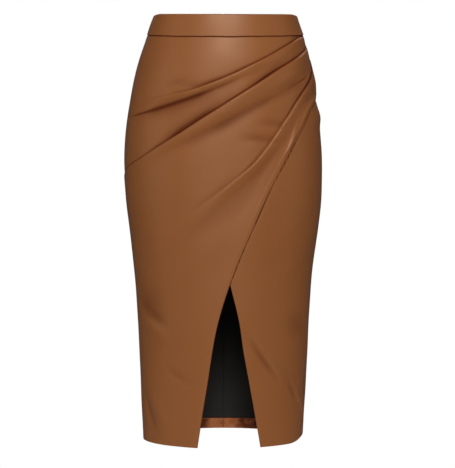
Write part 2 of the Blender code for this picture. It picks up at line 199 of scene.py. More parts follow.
@dataclass(frozen=True)
class Skin:
    """The smooth form that the cloth hangs on."""

    sections: tuple[Section, ...]

    def half_sizes(self, angle: Any, drop: Any) -> tuple[np.ndarray, np.ndarray]:
        """Find the quarter of the body that a place lies on.

        Args:
            angle: Degrees round the body.
            drop: Millimetres below the waist seam.

        Returns:
            The quarter's half-width and depth in mm.
        """
        drops = [s.drop for s in self.sections]
        left, right, front, back = (
            through(drops, [getattr(s, name) for s in self.sections], drop)
            for name in ("left", "right", "front", "back")
        )
        return np.where(angle > 0, right, left), np.where(np.abs(angle) <= 90, front, back)

    def place(self, angle: Any, drop: Any, out: Any) -> np.ndarray:
        """Turn angle, drop and out into points.

        Args:
            angle: Degrees round the body.
            drop: Millimetres below the waist seam.
            out: Millimetres outside the skin.

        Returns:
            Points in metres, on the last axis.
        """
        angle, drop, out = np.broadcast_arrays(*(np.asarray(v, float) for v in (angle, drop, out)))
        wide, deep = self.half_sizes(angle, drop)
        east = np.sin(np.radians(angle))
        south = np.cos(np.radians(angle))
        facing = np.hypot(east / wide, south / deep)
        x = wide * east + out * east / wide / facing
        y = -deep * south - out * south / deep / facing
        return np.stack([x, y, -BAND_HEIGHT / 2 - drop], axis=-1) * MM

    def mm_per_degree(self, angle: Any, drop: Any) -> np.ndarray:
        """Give the length round the skin of one degree, in mm.

        Args:
            angle: Degrees round the body.
            drop: Millimetres below the waist seam.

        Returns:
            Millimetres to a degree.
        """
        wide, deep = self.half_sizes(angle, drop)
        turn = np.radians(angle)
        return np.hypot(wide * np.cos(turn), deep * np.sin(turn)) * math.pi / 180

    def moved_round(self, angle: Any, drop: Any, distance: Any) -> np.ndarray:
        """Give the angle that lies a distance in mm further round the skin."""
        return angle + distance / self.mm_per_degree(angle, drop)

    def apart(self, angle: Any, other: Any, drop: Any) -> np.ndarray:
        """Give the distance in mm round the skin between two angles."""
        return np.abs(angle - other) * self.mm_per_degree(angle, drop)

    def spread(self, near: Any, far: Any, drop: Any, count: int) -> np.ndarray:
        """Spread mesh points round the skin, closer together at both ends.

        Args:
            near: Angle of the first end, one for each row.
            far: Angle of the last end.
            drop: Millimetres below the waist seam, one for each row.
            count: Number of even steps in the middle.

        Returns:
            The angle of each row and column.
        """
        rims = (np.array(RIM) / self.mm_per_degree(end, drop) for end in (near, far))
        return spaced(near, far, count, *rims)


SKIN = Skin(
    (
        Section(-36, 120.5, 128.5, 88, 94),
        Section(0, 130.5, 138.5, 95, 102),
        Section(40, 144, 149.5, 103, 113),
        Section(80, 154.5, 156.5, 108, 124),
        Section(120, 162, 161.5, 111, 133),
        Section(160, 168, 167.5, 113, 138),
        Section(200, 171, 171, 114.5, 140),
        Section(240, 171, 172, 115, 139),
        Section(280, 169, 171, 115, 135),
        Section(330, 163, 166, 114, 129),
        Section(400, 155.5, 156.5, 111, 120),
        Section(470, 150, 151, 108, 113),
        Section(550, 146, 147.5, 105, 107),
        Section(630, 143, 143.5, 102, 102.5),
        Section(704, 140, 139.5, 100, 100),
    )
)


def waist_sag(angle: np.ndarray) -> np.ndarray:
    """Give how far the waist seam hangs and wavers below its height at the sides, in mm.

    Args:
        angle: Degrees round the body.

    Returns:
        How far it hangs at each angle.
    """
    turn = np.radians(angle)
    front = np.where(np.abs(angle) < 90, np.cos(turn) ** 2, 0.0)
    return front * (WAIST_SAG + 0.22 * np.sin(9.0 * turn + 0.6) + 0.16 * np.sin(17.0 * turn))


def hem_lift(angle: np.ndarray, drop: np.ndarray) -> np.ndarray:
    """Give how far the hem rides up round the right side seam, in mm."""
    near_seam = 1 - ease((np.abs(angle - 93) - 2) / 36)
    return HEM_RISE * near_seam * ease((drop - 560) / 144)


# ---------------------------------------------------------------- lines, folds and wrinkles
@dataclass(frozen=True)
class Line:
    """A line across the cloth, through (angle, drop) points."""

    points: tuple[tuple[float, float], ...]

    def at(self, share: np.ndarray) -> np.ndarray:
        """Give (angle, drop) at each share of the line's length.

        Args:
            share: Shares of the length, from 0 to 1.

        Returns:
            (angle, drop) on the last axis.
        """
        points = np.array(self.points, float)
        middle = (points[1:] + points[:-1]) / 2
        steps = np.diff(points, axis=0)
        scale = SKIN.mm_per_degree(middle[:, 0], middle[:, 1])
        travelled = np.concatenate([[0], np.cumsum(np.hypot(steps[:, 0] * scale, steps[:, 1]))])
        return through(travelled / travelled[-1], points, share)

    def beside(self, angle: np.ndarray, drop: np.ndarray) -> tuple[np.ndarray, np.ndarray]:
        """Find where places lie along and beside the line.

        Args:
            angle: Degrees round the body.
            drop: Millimetres below the waist seam.

        Returns:
            The share of the nearest point along the line, and the distance in mm to the
            side that is below a line running leftwards.
        """
        samples = 60
        share = np.linspace(0, 1, samples)
        nodes = self.at(share)
        scale = SKIN.mm_per_degree(nodes[:, 0], nodes[:, 1])
        flat_angle, flat_drop = np.ravel(angle), np.ravel(drop)
        best = np.full(flat_angle.shape, np.inf)
        along = np.zeros(flat_angle.shape)
        aside = np.zeros(flat_angle.shape)
        for i in range(samples - 1):
            east = (nodes[i + 1, 0] - nodes[i, 0]) * scale[i]
            south = nodes[i + 1, 1] - nodes[i, 1]
            length = math.hypot(east, south)
            to_east = (flat_angle - nodes[i, 0]) * scale[i]
            to_south = flat_drop - nodes[i, 1]
            part = (to_east * east + to_south * south) / length**2
            held = np.clip(part, 0, 1)
            off = np.hypot(to_east - held * east, to_south - held * south)
            nearer = off < best
            best = np.where(nearer, off, best)
            reach = part if i in (0, samples - 2) else held
            along = np.where(nearer, (i + reach) / (samples - 1), along)
            aside = np.where(nearer, (to_east * south - to_south * east) / length, aside)
        return along.reshape(np.shape(angle)), aside.reshape(np.shape(angle))


WAIST_LINE = Line(((90, SEAM_GAP), (0, SEAM_GAP), (-90, SEAM_GAP)))
FIRST_TUCK = Line(
    ((90, 1.6), (69, 3.6), (53, 13.5), (25, 41), (-3, 73.5), (-23, 92), (-55, 106), (-90, 118))
)
HIP_HOLLOW = Line(((90, 9), (60, 22), (30, 50), (1, 82), (-21, 105), (-54, 130), (-90, 147)))
SECOND_TUCK = Line(
    ((90, 18), (61, 35), (43, 51), (17, 87), (-8, 130), (-31, 172), (-53, 205), (-90, 242))
)
BELLY_HOLLOW = Line(
    (
        (90, 36), (83, 50), (77, 59), (69, 69.5), (58, 79), (48, 87), (38, 97), (22, 115.5),
        (4, 141.5), (-8, 160.5), (-34, 198), (-90, 264),
    )
)
THIRD_TUCK = Line(
    (
        (90, 40), (87, 53), (78, 67), (66.5, 83.5), (60, 94), (53.5, 107), (46, 125.5),
        (35.2, 156), (24.8, 190.5), (17.5, 214), (4, 246), (-7, 271), (-40, 335), (-90, 390),
    )
)
THIGH_HOLLOW = Line(
    ((90, 62), (66, 102), (48, 145), (32, 194), (15, 246), (-1, 288), (-14, 319), (-45, 372), (-90, 440))
)
HEM_LINE = Line(
    ((90, 84), (67, 113), (47, 164), (27, 230), (0, 340), (-25, 465), (-55, 600), (-90, 704))
)
WRAP_EDGE = Line(
    ((90, 105), (68, 124), (50, 168), (31, 243), (15, 344), (4, 424), (-3, 486), (-11, 602), (-18, 704))
)
# Edge of the panel under the wrap, as drops and angles from the waist down.
UNDER_EDGE = (
    (0, 200, 330, 424, 490, 533, 603, 663, 704),
    (-12, -8, -3, 4.9, 11, 13.5, 19, 24, 27.5),
)


@dataclass(frozen=True)
class Fold:
    """A fold that radiates from the right seam.

    Each table is read along the line, as (share of its length, mm). Above the
    cloth sinks by `dip` over `reach`. Below it a tuck stands up by `rise` as a rounded
    edge, `roll` wide, and dies away over `run`. A crease `core` deep and `slit` wide
    runs along the line itself. The rows of `crease_shade` give the shade painted along
    the crease: share, darkness from 0 to 1, and the mm over which it fades above and below
    the line.
    """

    line: Line
    run: float
    reach: float
    dip: Table
    rise: Table = ((0.0, 0.0), (1.0, 0.0))
    core: Table = ((0.0, 0.0), (1.0, 0.0))
    crease_shade: tuple[tuple[float, float, float, float], ...] = ((0.0, 0.0, 1.0, 1.0), (1.0, 0.0, 1.0, 1.0))
    slit: float = 0.8
    roll: float = 2.4
    soft: bool = False

    @property
    def stands_up(self) -> bool:
        """Tell a tuck from a hollow."""
        return any(height for _, height in self.rise)

    def heights(
        self, share: np.ndarray, angle: np.ndarray, drop: np.ndarray
    ) -> tuple[np.ndarray, np.ndarray, np.ndarray]:
        """Work out what the fold does to the cloth.

        Args:
            share: Share along the row lines, one for each column.
            angle: Degrees round the body of each mesh point.
            drop: Millimetres below the waist seam of each mesh point.

        Returns:
            Heights of the outer face and of the inner face in mm, and the shade painted
            along the crease.
        """
        rail = self.line.at(share)
        scale = SKIN.mm_per_degree(rail[:, 0], rail[:, 1])
        run_east = np.gradient(rail[:, 0]) * scale
        run_south = np.gradient(rail[:, 1])
        length = np.hypot(run_east, run_south)
        aside = ((angle - rail[:, 0]) * scale * run_south - (drop - rail[:, 1]) * run_east) / length
        dip = graded(self.dip, share)
        width = np.where(aside > 0, self.run, self.reach)
        if self.soft:
            shape = np.exp(-1.5 * (aside / width) ** 2)
        else:
            shape = np.exp(-np.sqrt((1.6 * aside / width) ** 2 + 0.04) + 0.2)
        outer = inner = -dip * shape
        if self.stands_up:
            outer, inner = self.stood_up(outer, aside, dip, graded(self.rise, share))
        outer = outer - graded(self.core, share) * bell(aside, self.slit)
        dark, above, below = (graded([(row[0], row[k]) for row in self.crease_shade], share) for k in (1, 2, 3))
        dark = dark * bell(aside, np.where(aside > 0, below, above))
        return outer, np.minimum(inner, outer), dark

    def stood_up(
        self, hollow: np.ndarray, aside: np.ndarray, dip: np.ndarray, rise: np.ndarray
    ) -> tuple[np.ndarray, np.ndarray]:
        """Stand a tuck up below its line.

        Args:
            hollow: Heights of the hollow above the tuck.
            aside: Distance in mm from the line, more than 0 below it.
            dip: How far the cloth sinks at the line, one for each column.
            rise: How far the tuck stands up, one for each column.

        Returns:
            Heights of the outer face and of the inner face in mm.
        """
        crest = rise * np.cos(np.clip(aside / self.run, 0, 1) * math.pi / 2) ** 2
        low = 1 - np.clip(rise / 2.0, 0, 1)
        roll = self.roll + 5.0 * low  # the lower the tuck, the wider its rounded edge
        turned = np.sqrt(1 - (1 - np.clip(aside / roll, 0, 1)) ** 2)
        outer = np.where(aside > 0, -dip + (crest + dip) * turned, hollow)
        inner = np.where(aside > 0, -dip + (crest + dip) * ease(aside / 9.0), hollow)
        return outer, inner


@dataclass(frozen=True)
class Wrinkle:
    """A soft ridge or trough along its own line, fading at both ends, in mm."""

    line: Line
    height: float
    below: float
    above: float

    def relief(self, angle: np.ndarray, drop: np.ndarray) -> np.ndarray:
        """Give the wrinkle's height at each place.

        Args:
            angle: Degrees round the body.
            drop: Millimetres below the waist seam.

        Returns:
            Heights in mm.
        """
        share, aside = self.line.beside(angle, drop)
        ends = np.sin(np.pi * np.clip(share, 0, 1)) ** 1.5
        width = np.where(aside > 0, self.below, self.above)
        return self.height * ends * bell(aside, width)


def relief(wrinkles: tuple[Wrinkle, ...], angle: np.ndarray, drop: np.ndarray) -> np.ndarray:
    """Add up wrinkles and the faint unevenness that all soft cloth has.

    Args:
        wrinkles: The panel's own wrinkles.
        angle: Degrees round the body.
        drop: Millimetres below the waist seam.

    Returns:
        Heights in mm.
    """
    angle, drop = np.broadcast_arrays(angle, drop)
    total = sum((w.relief(angle, drop) for w in wrinkles), np.zeros(angle.shape))
    round_mm = angle * ROUND_PER_DEGREE
    uneven = (
        np.sin(round_mm / 17.3 + 0.7 * np.sin(drop / 41.0))
        + np.sin(drop / 23.7 + 1.3 * np.sin(round_mm / 31.0))
        + np.sin((round_mm + drop) / 13.1 + 0.4)
    )
    return total + UNEVENNESS * uneven


def trough_shade(wrinkles: np.ndarray, strength: float) -> np.ndarray:
    """Give the painted shade in the troughs of wrinkles that are more than 0.3 mm deep."""
    return np.clip(-wrinkles - 0.3, 0, 2) * strength


FOLDS = (
    Fold(
        FIRST_TUCK,
        run=20,
        reach=10,
        dip=(
            (0, 0.8), (0.1, 1.2), (0.3, 1.2), (0.5, 1.7), (0.6, 2.4), (0.66, 1.6), (0.75, 0.3), (0.82, 0),
        ),
        rise=(
            (0, 0.2), (0.06, 1.2), (0.12, 2.0), (0.25, 2.4), (0.45, 3.0), (0.58, 3.4), (0.7, 2.6),
            (0.86, 0),
        ),
        core=((0, 2.0), (0.1, 1.4), (0.4, 1.0), (0.5, 0.6), (0.6, 0.1), (0.7, 0)),
        crease_shade=(
            (0, 1.0, 3.0, 1.6), (0.05, 1.0, 2.6, 1.2), (0.09, 0.6, 1.7, 0.7), (0.3, 0.5, 1.9, 0.6),
            (0.45, 0.52, 3.2, 0.6), (0.56, 0.62, 5.0, 0.7), (0.63, 0.36, 5.0, 0.8), (0.7, 0.0, 4.0, 0.8),
        ),
        slit=1.3,
        roll=2.0,
    ),
    Fold(
        HIP_HOLLOW,
        run=22,
        reach=8,
        dip=(
            (0.36, 0), (0.48, 1.4), (0.6, 2.8), (0.67, 3.2), (0.75, 2.8), (0.84, 1.6), (0.92, 0.8),
            (1, 0.1),
        ),
        core=((0.5, 0), (0.62, 0.3), (0.75, 0.5), (0.88, 0.8), (0.95, 0.2), (1, 0)),
        crease_shade=(
            (0.40, 0.0, 3.0, 3.0), (0.5, 0.45, 3.0, 4.0), (0.6, 0.86, 3.8, 6.8), (0.76, 0.86, 3.8, 6.4),
            (0.85, 0.75, 1.8, 2.2), (0.93, 0.2, 1.3, 1.0), (1, 0.0, 1.2, 0.8),
        ),
        slit=1.2,
    ),
    Fold(
        SECOND_TUCK,
        run=32,
        reach=14,
        dip=(
            (0, 1.0), (0.08, 1.4), (0.16, 1.8), (0.25, 2.8), (0.32, 2.4), (0.40, 1.4), (0.46, 1.8),
            (0.55, 3.6), (0.62, 3.9), (0.68, 3.2), (0.75, 1.4), (0.85, 0.9), (1, 0.8),
        ),
        rise=(
            (0, 0.2), (0.06, 1.2), (0.15, 3.0), (0.3, 4.0), (0.5, 4.6), (0.62, 4.0), (0.74, 2.6),
            (0.87, 1.8), (1, 0.6),
        ),
        core=(
            (0, 1.8), (0.1, 1.5), (0.2, 1.3), (0.3, 1.3), (0.38, 1.2), (0.5, 0.9), (0.62, 0.3),
            (0.72, 0.6), (0.85, 0.9), (1, 1.0),
        ),
        crease_shade=(
            (0, 0.9, 2.2, 2.4), (0.05, 0.85, 2.0, 1.6), (0.1, 0.75, 1.8, 0.8), (0.2, 0.78, 2.0, 0.7),
            (0.29, 0.9, 4.6, 0.7), (0.37, 0.66, 2.0, 0.6), (0.47, 0.62, 3.6, 0.6), (0.56, 0.84, 9.0, 0.7),
            (0.65, 0.84, 9.5, 0.8), (0.73, 0.6, 4.5, 0.7), (0.82, 0.4, 1.6, 0.7), (1, 0.6, 1.8, 0.9),
        ),
        slit=1.2,
    ),
    Fold(
        BELLY_HOLLOW,
        run=15,
        reach=12,
        dip=(
            (0.08, 0), (0.12, 0.6), (0.18, 1.4), (0.28, 1.5), (0.4, 1.6), (0.5, 2.2), (0.58, 2.0),
            (0.7, 0.9), (0.82, 0),
        ),
        core=((0.08, 0), (0.12, 0.8), (0.17, 0.8), (0.24, 0)),
        crease_shade=(
            (0.1, 0.0, 1.4, 1.0), (0.13, 0.7, 1.5, 1.0), (0.18, 0.5, 2.0, 1.5), (0.25, 0.3, 4.0, 4.0),
            (0.34, 0.45, 6.0, 8.0), (0.48, 0.52, 6.5, 11.0), (0.58, 0.3, 7.0, 9.0), (0.7, 0.0, 5.0, 5.0),
        ),
        slit=1.5,
        soft=True,
    ),
    Fold(
        THIRD_TUCK,
        run=24,
        reach=11,
        dip=(
            (0, 0.2), (0.12, 0.5), (0.2, 1.2), (0.3, 1.3), (0.42, 1.6), (0.52, 1.4), (0.62, 0.8), (0.72, 0),
        ),
        rise=(
            (0, 1.6), (0.08, 2.0), (0.16, 2.2), (0.3, 2.6), (0.42, 2.2), (0.52, 1.2), (0.62, 0.4),
            (0.72, 0),
        ),
        core=((0, 0.5), (0.14, 0.9), (0.2, 1.1), (0.3, 0.4), (0.42, 0.1), (0.5, 0)),
        crease_shade=(
            (0, 1.0, 1.4, 2.4), (0.1, 1.0, 1.4, 2.0), (0.16, 0.9, 1.5, 1.2), (0.22, 0.66, 1.7, 0.7),
            (0.29, 0.3, 1.8, 0.5), (0.36, 0.16, 2.4, 0.8), (0.44, 0.24, 4.0, 1.5), (0.54, 0.18, 5.0, 2.5),
            (0.63, 0.1, 6.0, 4.0), (0.72, 0.0, 6.0, 5.0),
        ),
        slit=1.4,
        roll=4.4,
    ),
    Fold(
        THIGH_HOLLOW,
        run=36,
        reach=13,
        dip=((0.14, 0), (0.26, 0.9), (0.36, 1.4), (0.5, 1.5), (0.64, 1.0), (0.8, 0)),
        crease_shade=(
            (0.12, 0.0, 6.0, 7.0), (0.25, 0.16, 6.0, 8.0), (0.36, 0.2, 6.5, 9.0), (0.55, 0.2, 8.0, 13.0),
            (0.78, 0.0, 9.0, 13.0),
        ),
        soft=True,
    ),
)
# Where the tucks bunch up, the right side seam swells twice.
SIDE_SWELLS = (
    Wrinkle(Line(((118, 78), (90, 80), (60, 96))), 2.6, 15, 15),
    Wrinkle(Line(((112, 106), (90, 107), (74, 112))), -1.6, 5, 5),
    Wrinkle(Line(((128, 150), (90, 140), (56, 150))), 4.2, 14, 17),
)
FRONT_WRINKLES = (
    # broad ones low down on the left
    Wrinkle(Line(((-38, 485), (-80, 425))), -1.6, 26, 26),
    Wrinkle(Line(((-50, 640), (-74, 590))), 1.6, 24, 24),
    # soft crowns of the cloth between the tucks
    Wrinkle(Line(((60, 20), (44, 33), (24, 56))), 0.9, 7, 6),
    Wrinkle(Line(((66, 54), (48, 70), (22, 98))), 1.3, 8, 8),
    # troughs that cross the third tuck
    Wrinkle(Line(((38, 184), (27, 177), (18, 174), (6, 176))), -2.0, 6, 9),
    Wrinkle(Line(((46, 158), (35, 151), (28, 149), (18, 150))), -1.5, 5, 8),
    # long ridges beside the top of the wrap's edge and along the third tuck
    Wrinkle(Line(((54.5, 132), (50, 148), (45.5, 167), (38, 206))), 1.5, 3.4, 3.4),
    Wrinkle(Line(((30, 172), (16, 215), (4, 250), (-8, 280))), 0.9, 6, 5),
    # a short trough that leaves the first tuck
    Wrinkle(Line(((-12, 84), (-22, 82), (-32, 80), (-44, 81))), -1.7, 6, 9),
    # drags of the left side
    Wrinkle(Line(((-36, 498), (-54, 478), (-74, 454))), -2.0, 10, 8),
    Wrinkle(Line(((-36, 520), (-52, 502), (-70, 484))), 1.3, 12, 10),
    Wrinkle(Line(((-54, 694), (-63, 646), (-76, 596))), -2.2, 8, 9),
    Wrinkle(Line(((-40, 690), (-50, 650), (-62, 606))), 1.5, 13, 12),
    Wrinkle(Line(((-20, 596), (-30, 584), (-44, 566))), -1.2, 8, 7),
)
UNDER_WRINKLES = (
    Wrinkle(Line(((52, 604), (34, 554), (20, 508))), 1.7, 5, 4),
    Wrinkle(Line(((44, 600), (27, 548), (15, 502))), -2.2, 7, 6),
    Wrinkle(Line(((66, 640), (58, 616), (46, 584))), -1.4, 7, 6),
    Wrinkle(Line(((84, 668), (72, 640), (58, 606))), 1.9, 5, 5),
    Wrinkle(Line(((80, 520), (60, 500), (44, 470))), -1.5, 22, 20),
    Wrinkle(Line(((88, 680), (84, 630), (74, 560))), -1.8, 10, 9),
)
BACK_WRINKLES = (
    Wrinkle(Line(((150, 235), (108, 300))), -1.8, 24, 24),
    Wrinkle(Line(((-110, 310), (-152, 250))), -1.8, 24, 24),
    Wrinkle(Line(((165, 520), (128, 470))), 1.4, 22, 22),
    Wrinkle(Line(((-120, 500), (-160, 560))), 1.2, 22, 22),
)


# ---------------------------------------------------------------- nodes
@dataclass(frozen=True)
class Signal:
    """What one output of a node gives."""

    wiring: "Wiring"
    socket: bpy.types.NodeSocket

    def __add__(self, other: Any) -> "Signal":
        """Add a signal or a number."""
        return self.wiring.maths("ADD", self, other)

    __radd__ = __add__

    def __sub__(self, other: Any) -> "Signal":
        """Subtract a signal or a number."""
        return self.wiring.maths("SUBTRACT", self, other)

    def __rsub__(self, other: Any) -> "Signal":
        """Subtract this signal from a number."""
        return self.wiring.maths("SUBTRACT", other, self)

    def __mul__(self, other: Any) -> "Signal":
        """Multiply by a signal or a number."""
        return self.wiring.maths("MULTIPLY", self, other)

    __rmul__ = __mul__


class Wiring:
    """A node tree, with one method that adds any node."""

    def __init__(self, tree: bpy.types.NodeTree) -> None:
        """Take the tree that the nodes go into."""
        self.tree = tree

    def node(
        self, kind: str, settings: dict | None = None, values: dict | None = None, out: Any = 0
    ) -> Signal:
        """Add a node.

        Args:
            kind: The node's type, such as "ShaderNodeTexNoise".
            settings: Properties of the node, set before its sockets.
            values: What each input socket is given: a Signal or a constant.
            out: Name or number of the output that is wanted.

        Returns:
            The wanted output.
        """
        made = self.tree.nodes.new(kind)
        for name, value in (settings or {}).items():
            setattr(made, name, value)
        for name, value in (values or {}).items():
            self.feed(made.inputs[name], value)
        return Signal(self, made.outputs[out])

    def feed(self, socket: bpy.types.NodeSocket, value: Any) -> None:
        """Link a signal to a socket, or set a constant on it.

        Args:
            socket: An input of one of the tree's nodes.
            value: A Signal or a constant.
        """
        if isinstance(value, Signal):
            self.tree.links.new(value.socket, socket)
        else:
            socket.default_value = value

    def maths(self, operation: str, first: Any, second: Any) -> Signal:
        """Add a Math node for two numbers or signals."""
        return self.node("ShaderNodeMath", {"operation": operation}, {0: first, 1: second})


class Bench(Wiring):
    """A material's node tree."""

    def __init__(self, name: str) -> None:
        """Start a material with an empty tree but for its output and shader.

        Args:
            name: The material's name.
        """
        self.material = bpy.data.materials.new(name)
        self.material.use_nodes = True
        super().__init__(self.material.node_tree)
        self.shader = self.tree.nodes["Principled BSDF"]

    def blend(self, share: Any, first: Any, second: Any) -> Signal:
        """Mix two colours by a share."""
        values = {"Factor": share, 6: first, 7: second}
        return self.node("ShaderNodeMix", {"data_type": "RGBA"}, values, 2)

    def ramp(
        self,
        value: Signal,
        between: tuple[float, float],
        gives: tuple[float, float] = (0.0, 1.0),
        steps: str = "SMOOTHSTEP",
    ) -> Signal:
        """Lead a value that passes between two numbers from one result to another.

        Args:
            value: What is read.
            between: The two numbers.
            gives: The results at them and beyond them.
            steps: How the Map Range node interpolates.

        Returns:
            The result.
        """
        values = {"Value": value, "From Min": between[0], "From Max": between[1]}
        values |= {"To Min": gives[0], "To Max": gives[1]}
        return self.node("ShaderNodeMapRange", {"interpolation_type": steps}, values)

    def part(self, vector: Signal, axis: str) -> Signal:
        """Give one part of a vector: "X", "Y" or "Z"."""
        return self.node("ShaderNodeSeparateXYZ", values={0: vector}, out=axis)

    def places(self) -> Signal:
        """Give the object's own coordinates, in metres."""
        return self.node("ShaderNodeTexCoord", out="Object")

    def noise(self, size: float, detail: float = 2.0) -> Signal:
        """Give noise whose blotches are about `size` metres wide."""
        values = {"Vector": self.places(), "Scale": 1 / size, "Detail": detail}
        return self.node("ShaderNodeTexNoise", values=values)

    def bump(self, height: Signal, depth: float) -> Signal:
        """Turn a height of 0 to 1 into a normal, `depth` metres deep."""
        return self.node("ShaderNodeBump", values={"Height": height, "Distance": depth, "Strength": 1.0})

    def finish(self, **sockets: Any) -> bpy.types.Material:
        """Set the shader's sockets by their names, with _ for a space.

        Args:
            sockets: What each socket is given: a Signal or a constant.

        Returns:
            The material.
        """
        for name, value in sockets.items():
            self.feed(self.shader.inputs[name.replace("_", " ")], value)
        return self.material


class Recipe(Wiring):
    """A Geometry Nodes tree with named inputs."""

    def __init__(self, name: str, **sizes: float) -> None:
        """Start a tree that takes geometry and the named sizes, and gives geometry.

        Args:
            name: The tree's name.
            sizes: Names and default values of its inputs.
        """
        super().__init__(bpy.data.node_groups.new(name, "GeometryNodeTree"))
        sockets = self.tree.interface
        sockets.new_socket("Geometry", in_out="INPUT", socket_type="NodeSocketGeometry")
        for size, value in sizes.items():
            made = sockets.new_socket(size, in_out="INPUT", socket_type="NodeSocketFloat")
            made.default_value = value
        sockets.new_socket("Geometry", in_out="OUTPUT", socket_type="NodeSocketGeometry")
        self.inlet = self.tree.nodes.new("NodeGroupInput")
        self.outlet = self.tree.nodes.new("NodeGroupOutput")

    def given(self, name: str) -> Signal:
        """Give what a named input holds."""
        return Signal(self, self.inlet.outputs[name])

    def finish(self, copies: Signal, finish: bpy.types.Material) -> None:
        """Realize the copies, give them their material and end the tree.

        Args:
            copies: The instances.
            finish: Their material.
        """
        real = self.node("GeometryNodeRealizeInstances", values={"Geometry": copies})
        smooth = self.node("GeometryNodeSetShadeSmooth", values={"Geometry": real})
        done = self.node("GeometryNodeSetMaterial", values={"Geometry": smooth, "Material": finish})
        self.feed(self.outlet.inputs[0], done)


def srgb(red: float, green: float, blue: float) -> tuple[float, float, float, float]:
    """Turn 0-255 sRGB values into a linear colour.

    Args:
        red: Red, 0 to 255.
        green: Green, 0 to 255.
        blue: Blue, 0 to 255.

    Returns:
        Red, green, blue and an alpha of 1.
    """
    values = np.array([red, green, blue]) / 255
    linear = np.where(values <= 0.04045, values / 12.92, ((values + 0.055) / 1.055) ** 2.4)
    return (*(float(v) for v in linear), 1.0)


def toned(colour: tuple, factor: float) -> tuple[float, float, float, float]:
    """Make a linear colour darker or lighter."""
    return (*(min(1.0, factor * part) for part in colour[:3]), 1.0)


# ---------------------------------------------------------------- finishes, with sizes in metres
@dataclass(frozen=True)
class FauxLeather:
    """Smooth polyurethane skin with a warm satin gloss, finely grained.

    Some of the photograph's shade is painted into the colour by the attribute "hollow",
    which stays where it is on the cloth: in creases, where it is high, the skin is dark
    and dull.
    """

    name: str
    colour: tuple = srgb(147, 90, 48)
    # colour of the shade painted into creases, seams and edges
    deep: tuple = srgb(90, 30, 0)
    gloss: tuple = (1.0, 0.74, 0.55, 1.0)
    gloss_level: float = 0.45
    coat: float = 0.2
    roughness: float = 0.40
    mottle: float = 0.2
    mottle_size: float = 0.09
    spot_size: float = 0.03
    grain_size: float = 0.0009
    grain_depth: float = 0.00002
    pore_size: float = 0.0004
    pebble_share: float = 0.6  # of the grain's relief; the pores have the rest
    painted: float = 1.2  # how strongly "hollow" leads to the painted shade's colour
    black_above: float = 0.86  # of "hollow", where the painted shade turns black
    black_gain: float = 7.0
    dulled_by: float = 1.5  # how soon "hollow" makes the skin fully dull
    dull_roughness: float = 0.4  # added where it is
    spot_roughness: float = 0.12  # added or taken away by the spots
    cloud_roughness: float = 0.06  # and by the mottle

    def build(self) -> bpy.types.Material:
        """Build the material.

        Returns:
            The material.
        """
        bench = Bench(self.name)
        hollow = bench.node("ShaderNodeAttribute", {"attribute_name": "hollow"}, out="Fac")
        clouds = bench.noise(self.mottle_size, 3.0) - 0.5
        shaded = bench.blend(hollow * self.painted + clouds * self.mottle, self.colour, self.deep)
        cells = bench.node(
            "ShaderNodeTexVoronoi",
            {"feature": "DISTANCE_TO_EDGE"},
            {"Vector": bench.places(), "Scale": 1 / self.grain_size, "Randomness": 1.0},
            "Distance",
        )
        pebbles = bench.ramp(cells, (0.0, 0.25), steps="LINEAR")
        pores = bench.noise(self.pore_size)
        grain = pebbles * self.pebble_share + pores * (1 - self.pebble_share)
        dull = bench.node("ShaderNodeClamp", values={"Value": hollow * self.dulled_by})
        spots = bench.noise(self.spot_size) - 0.5
        uneven = spots * self.spot_roughness + clouds * self.cloud_roughness
        # the painted shade turns black in the deepest creases
        blackest = (hollow - self.black_above) * self.black_gain
        return bench.finish(
            Base_Color=bench.blend(blackest, shaded, toned(self.deep, 0.1)),
            Roughness=self.roughness + uneven + dull * self.dull_roughness,
            Normal=bench.bump(grain, self.grain_depth),
            IOR=1.5,
            Specular_IOR_Level=self.gloss_level,
            Specular_Tint=self.gloss,
            Coat_Weight=(1.0 - dull) * self.coat,
            Coat_Roughness=self.roughness - 0.02,
        )


@dataclass(frozen=True)
class BackingKnit:
    """Brushed knit behind the faux leather."""

    name: str = "backing_knit"
    colour: tuple = srgb(58, 44, 36)

    def build(self) -> bpy.types.Material:
        """Build the material.

        Returns:
            The material.
        """
        bench = Bench(self.name)
        fuzz = bench.noise(0.0006, 3.0)
        share = fuzz * 0.7 + bench.noise(0.05) * 0.3
        return bench.finish(
            Base_Color=bench.blend(share, toned(self.colour, 0.6), self.colour),
            Roughness=0.95,
            Sheen_Weight=0.25,
            Normal=bench.bump(fuzz, 0.0001),
        )


@dataclass(frozen=True)
class LiningCloth:
    """Black plain-woven lining.

    The light that the photograph has low down at the centre back is painted in, in grey,
    which comes up between the two `lit_drops` below the waist seam.
    """

    name: str = "lining_cloth"
    colour: tuple = srgb(3, 3, 3)
    lit: tuple = srgb(56, 55, 54)
    lit_drops: tuple[float, float] = (0.49, 0.65)
    lit_within: float = 0.06
    thread: float = 0.0005

    def build(self) -> bpy.types.Material:
        """Build the material.

        Returns:
            The material.
        """
        bench = Bench(self.name)
        cloth = bench.node("ShaderNodeUVMap", {"uv_map": "cloth"})
        down = bench.part(cloth, "Y")
        turn = 2 * math.pi / self.thread
        warp = bench.maths("SINE", bench.part(cloth, "X") * turn, 0.0)
        weft = bench.maths("SINE", down * turn, 0.0)
        weave = warp * weft * 0.5 + 0.5
        slubs = bench.noise(0.02, 3.0)
        low = bench.ramp(down * -1.0, self.lit_drops)
        from_middle = bench.maths("ABSOLUTE", bench.part(bench.places(), "X"), 0.0)
        central = bench.ramp(from_middle, (0.0, self.lit_within), (1.0, 0.1))
        share = low * central * (0.7 + weave * 0.15 + slubs * 0.3)
        return bench.finish(
            Base_Color=bench.blend(share, self.colour, self.lit),
            Roughness=0.46 + slubs * 0.16,
            Normal=bench.bump(weave, 0.00003),
            Specular_IOR_Level=0.12,
            Sheen_Weight=0.02,
            Sheen_Roughness=0.4,
        )


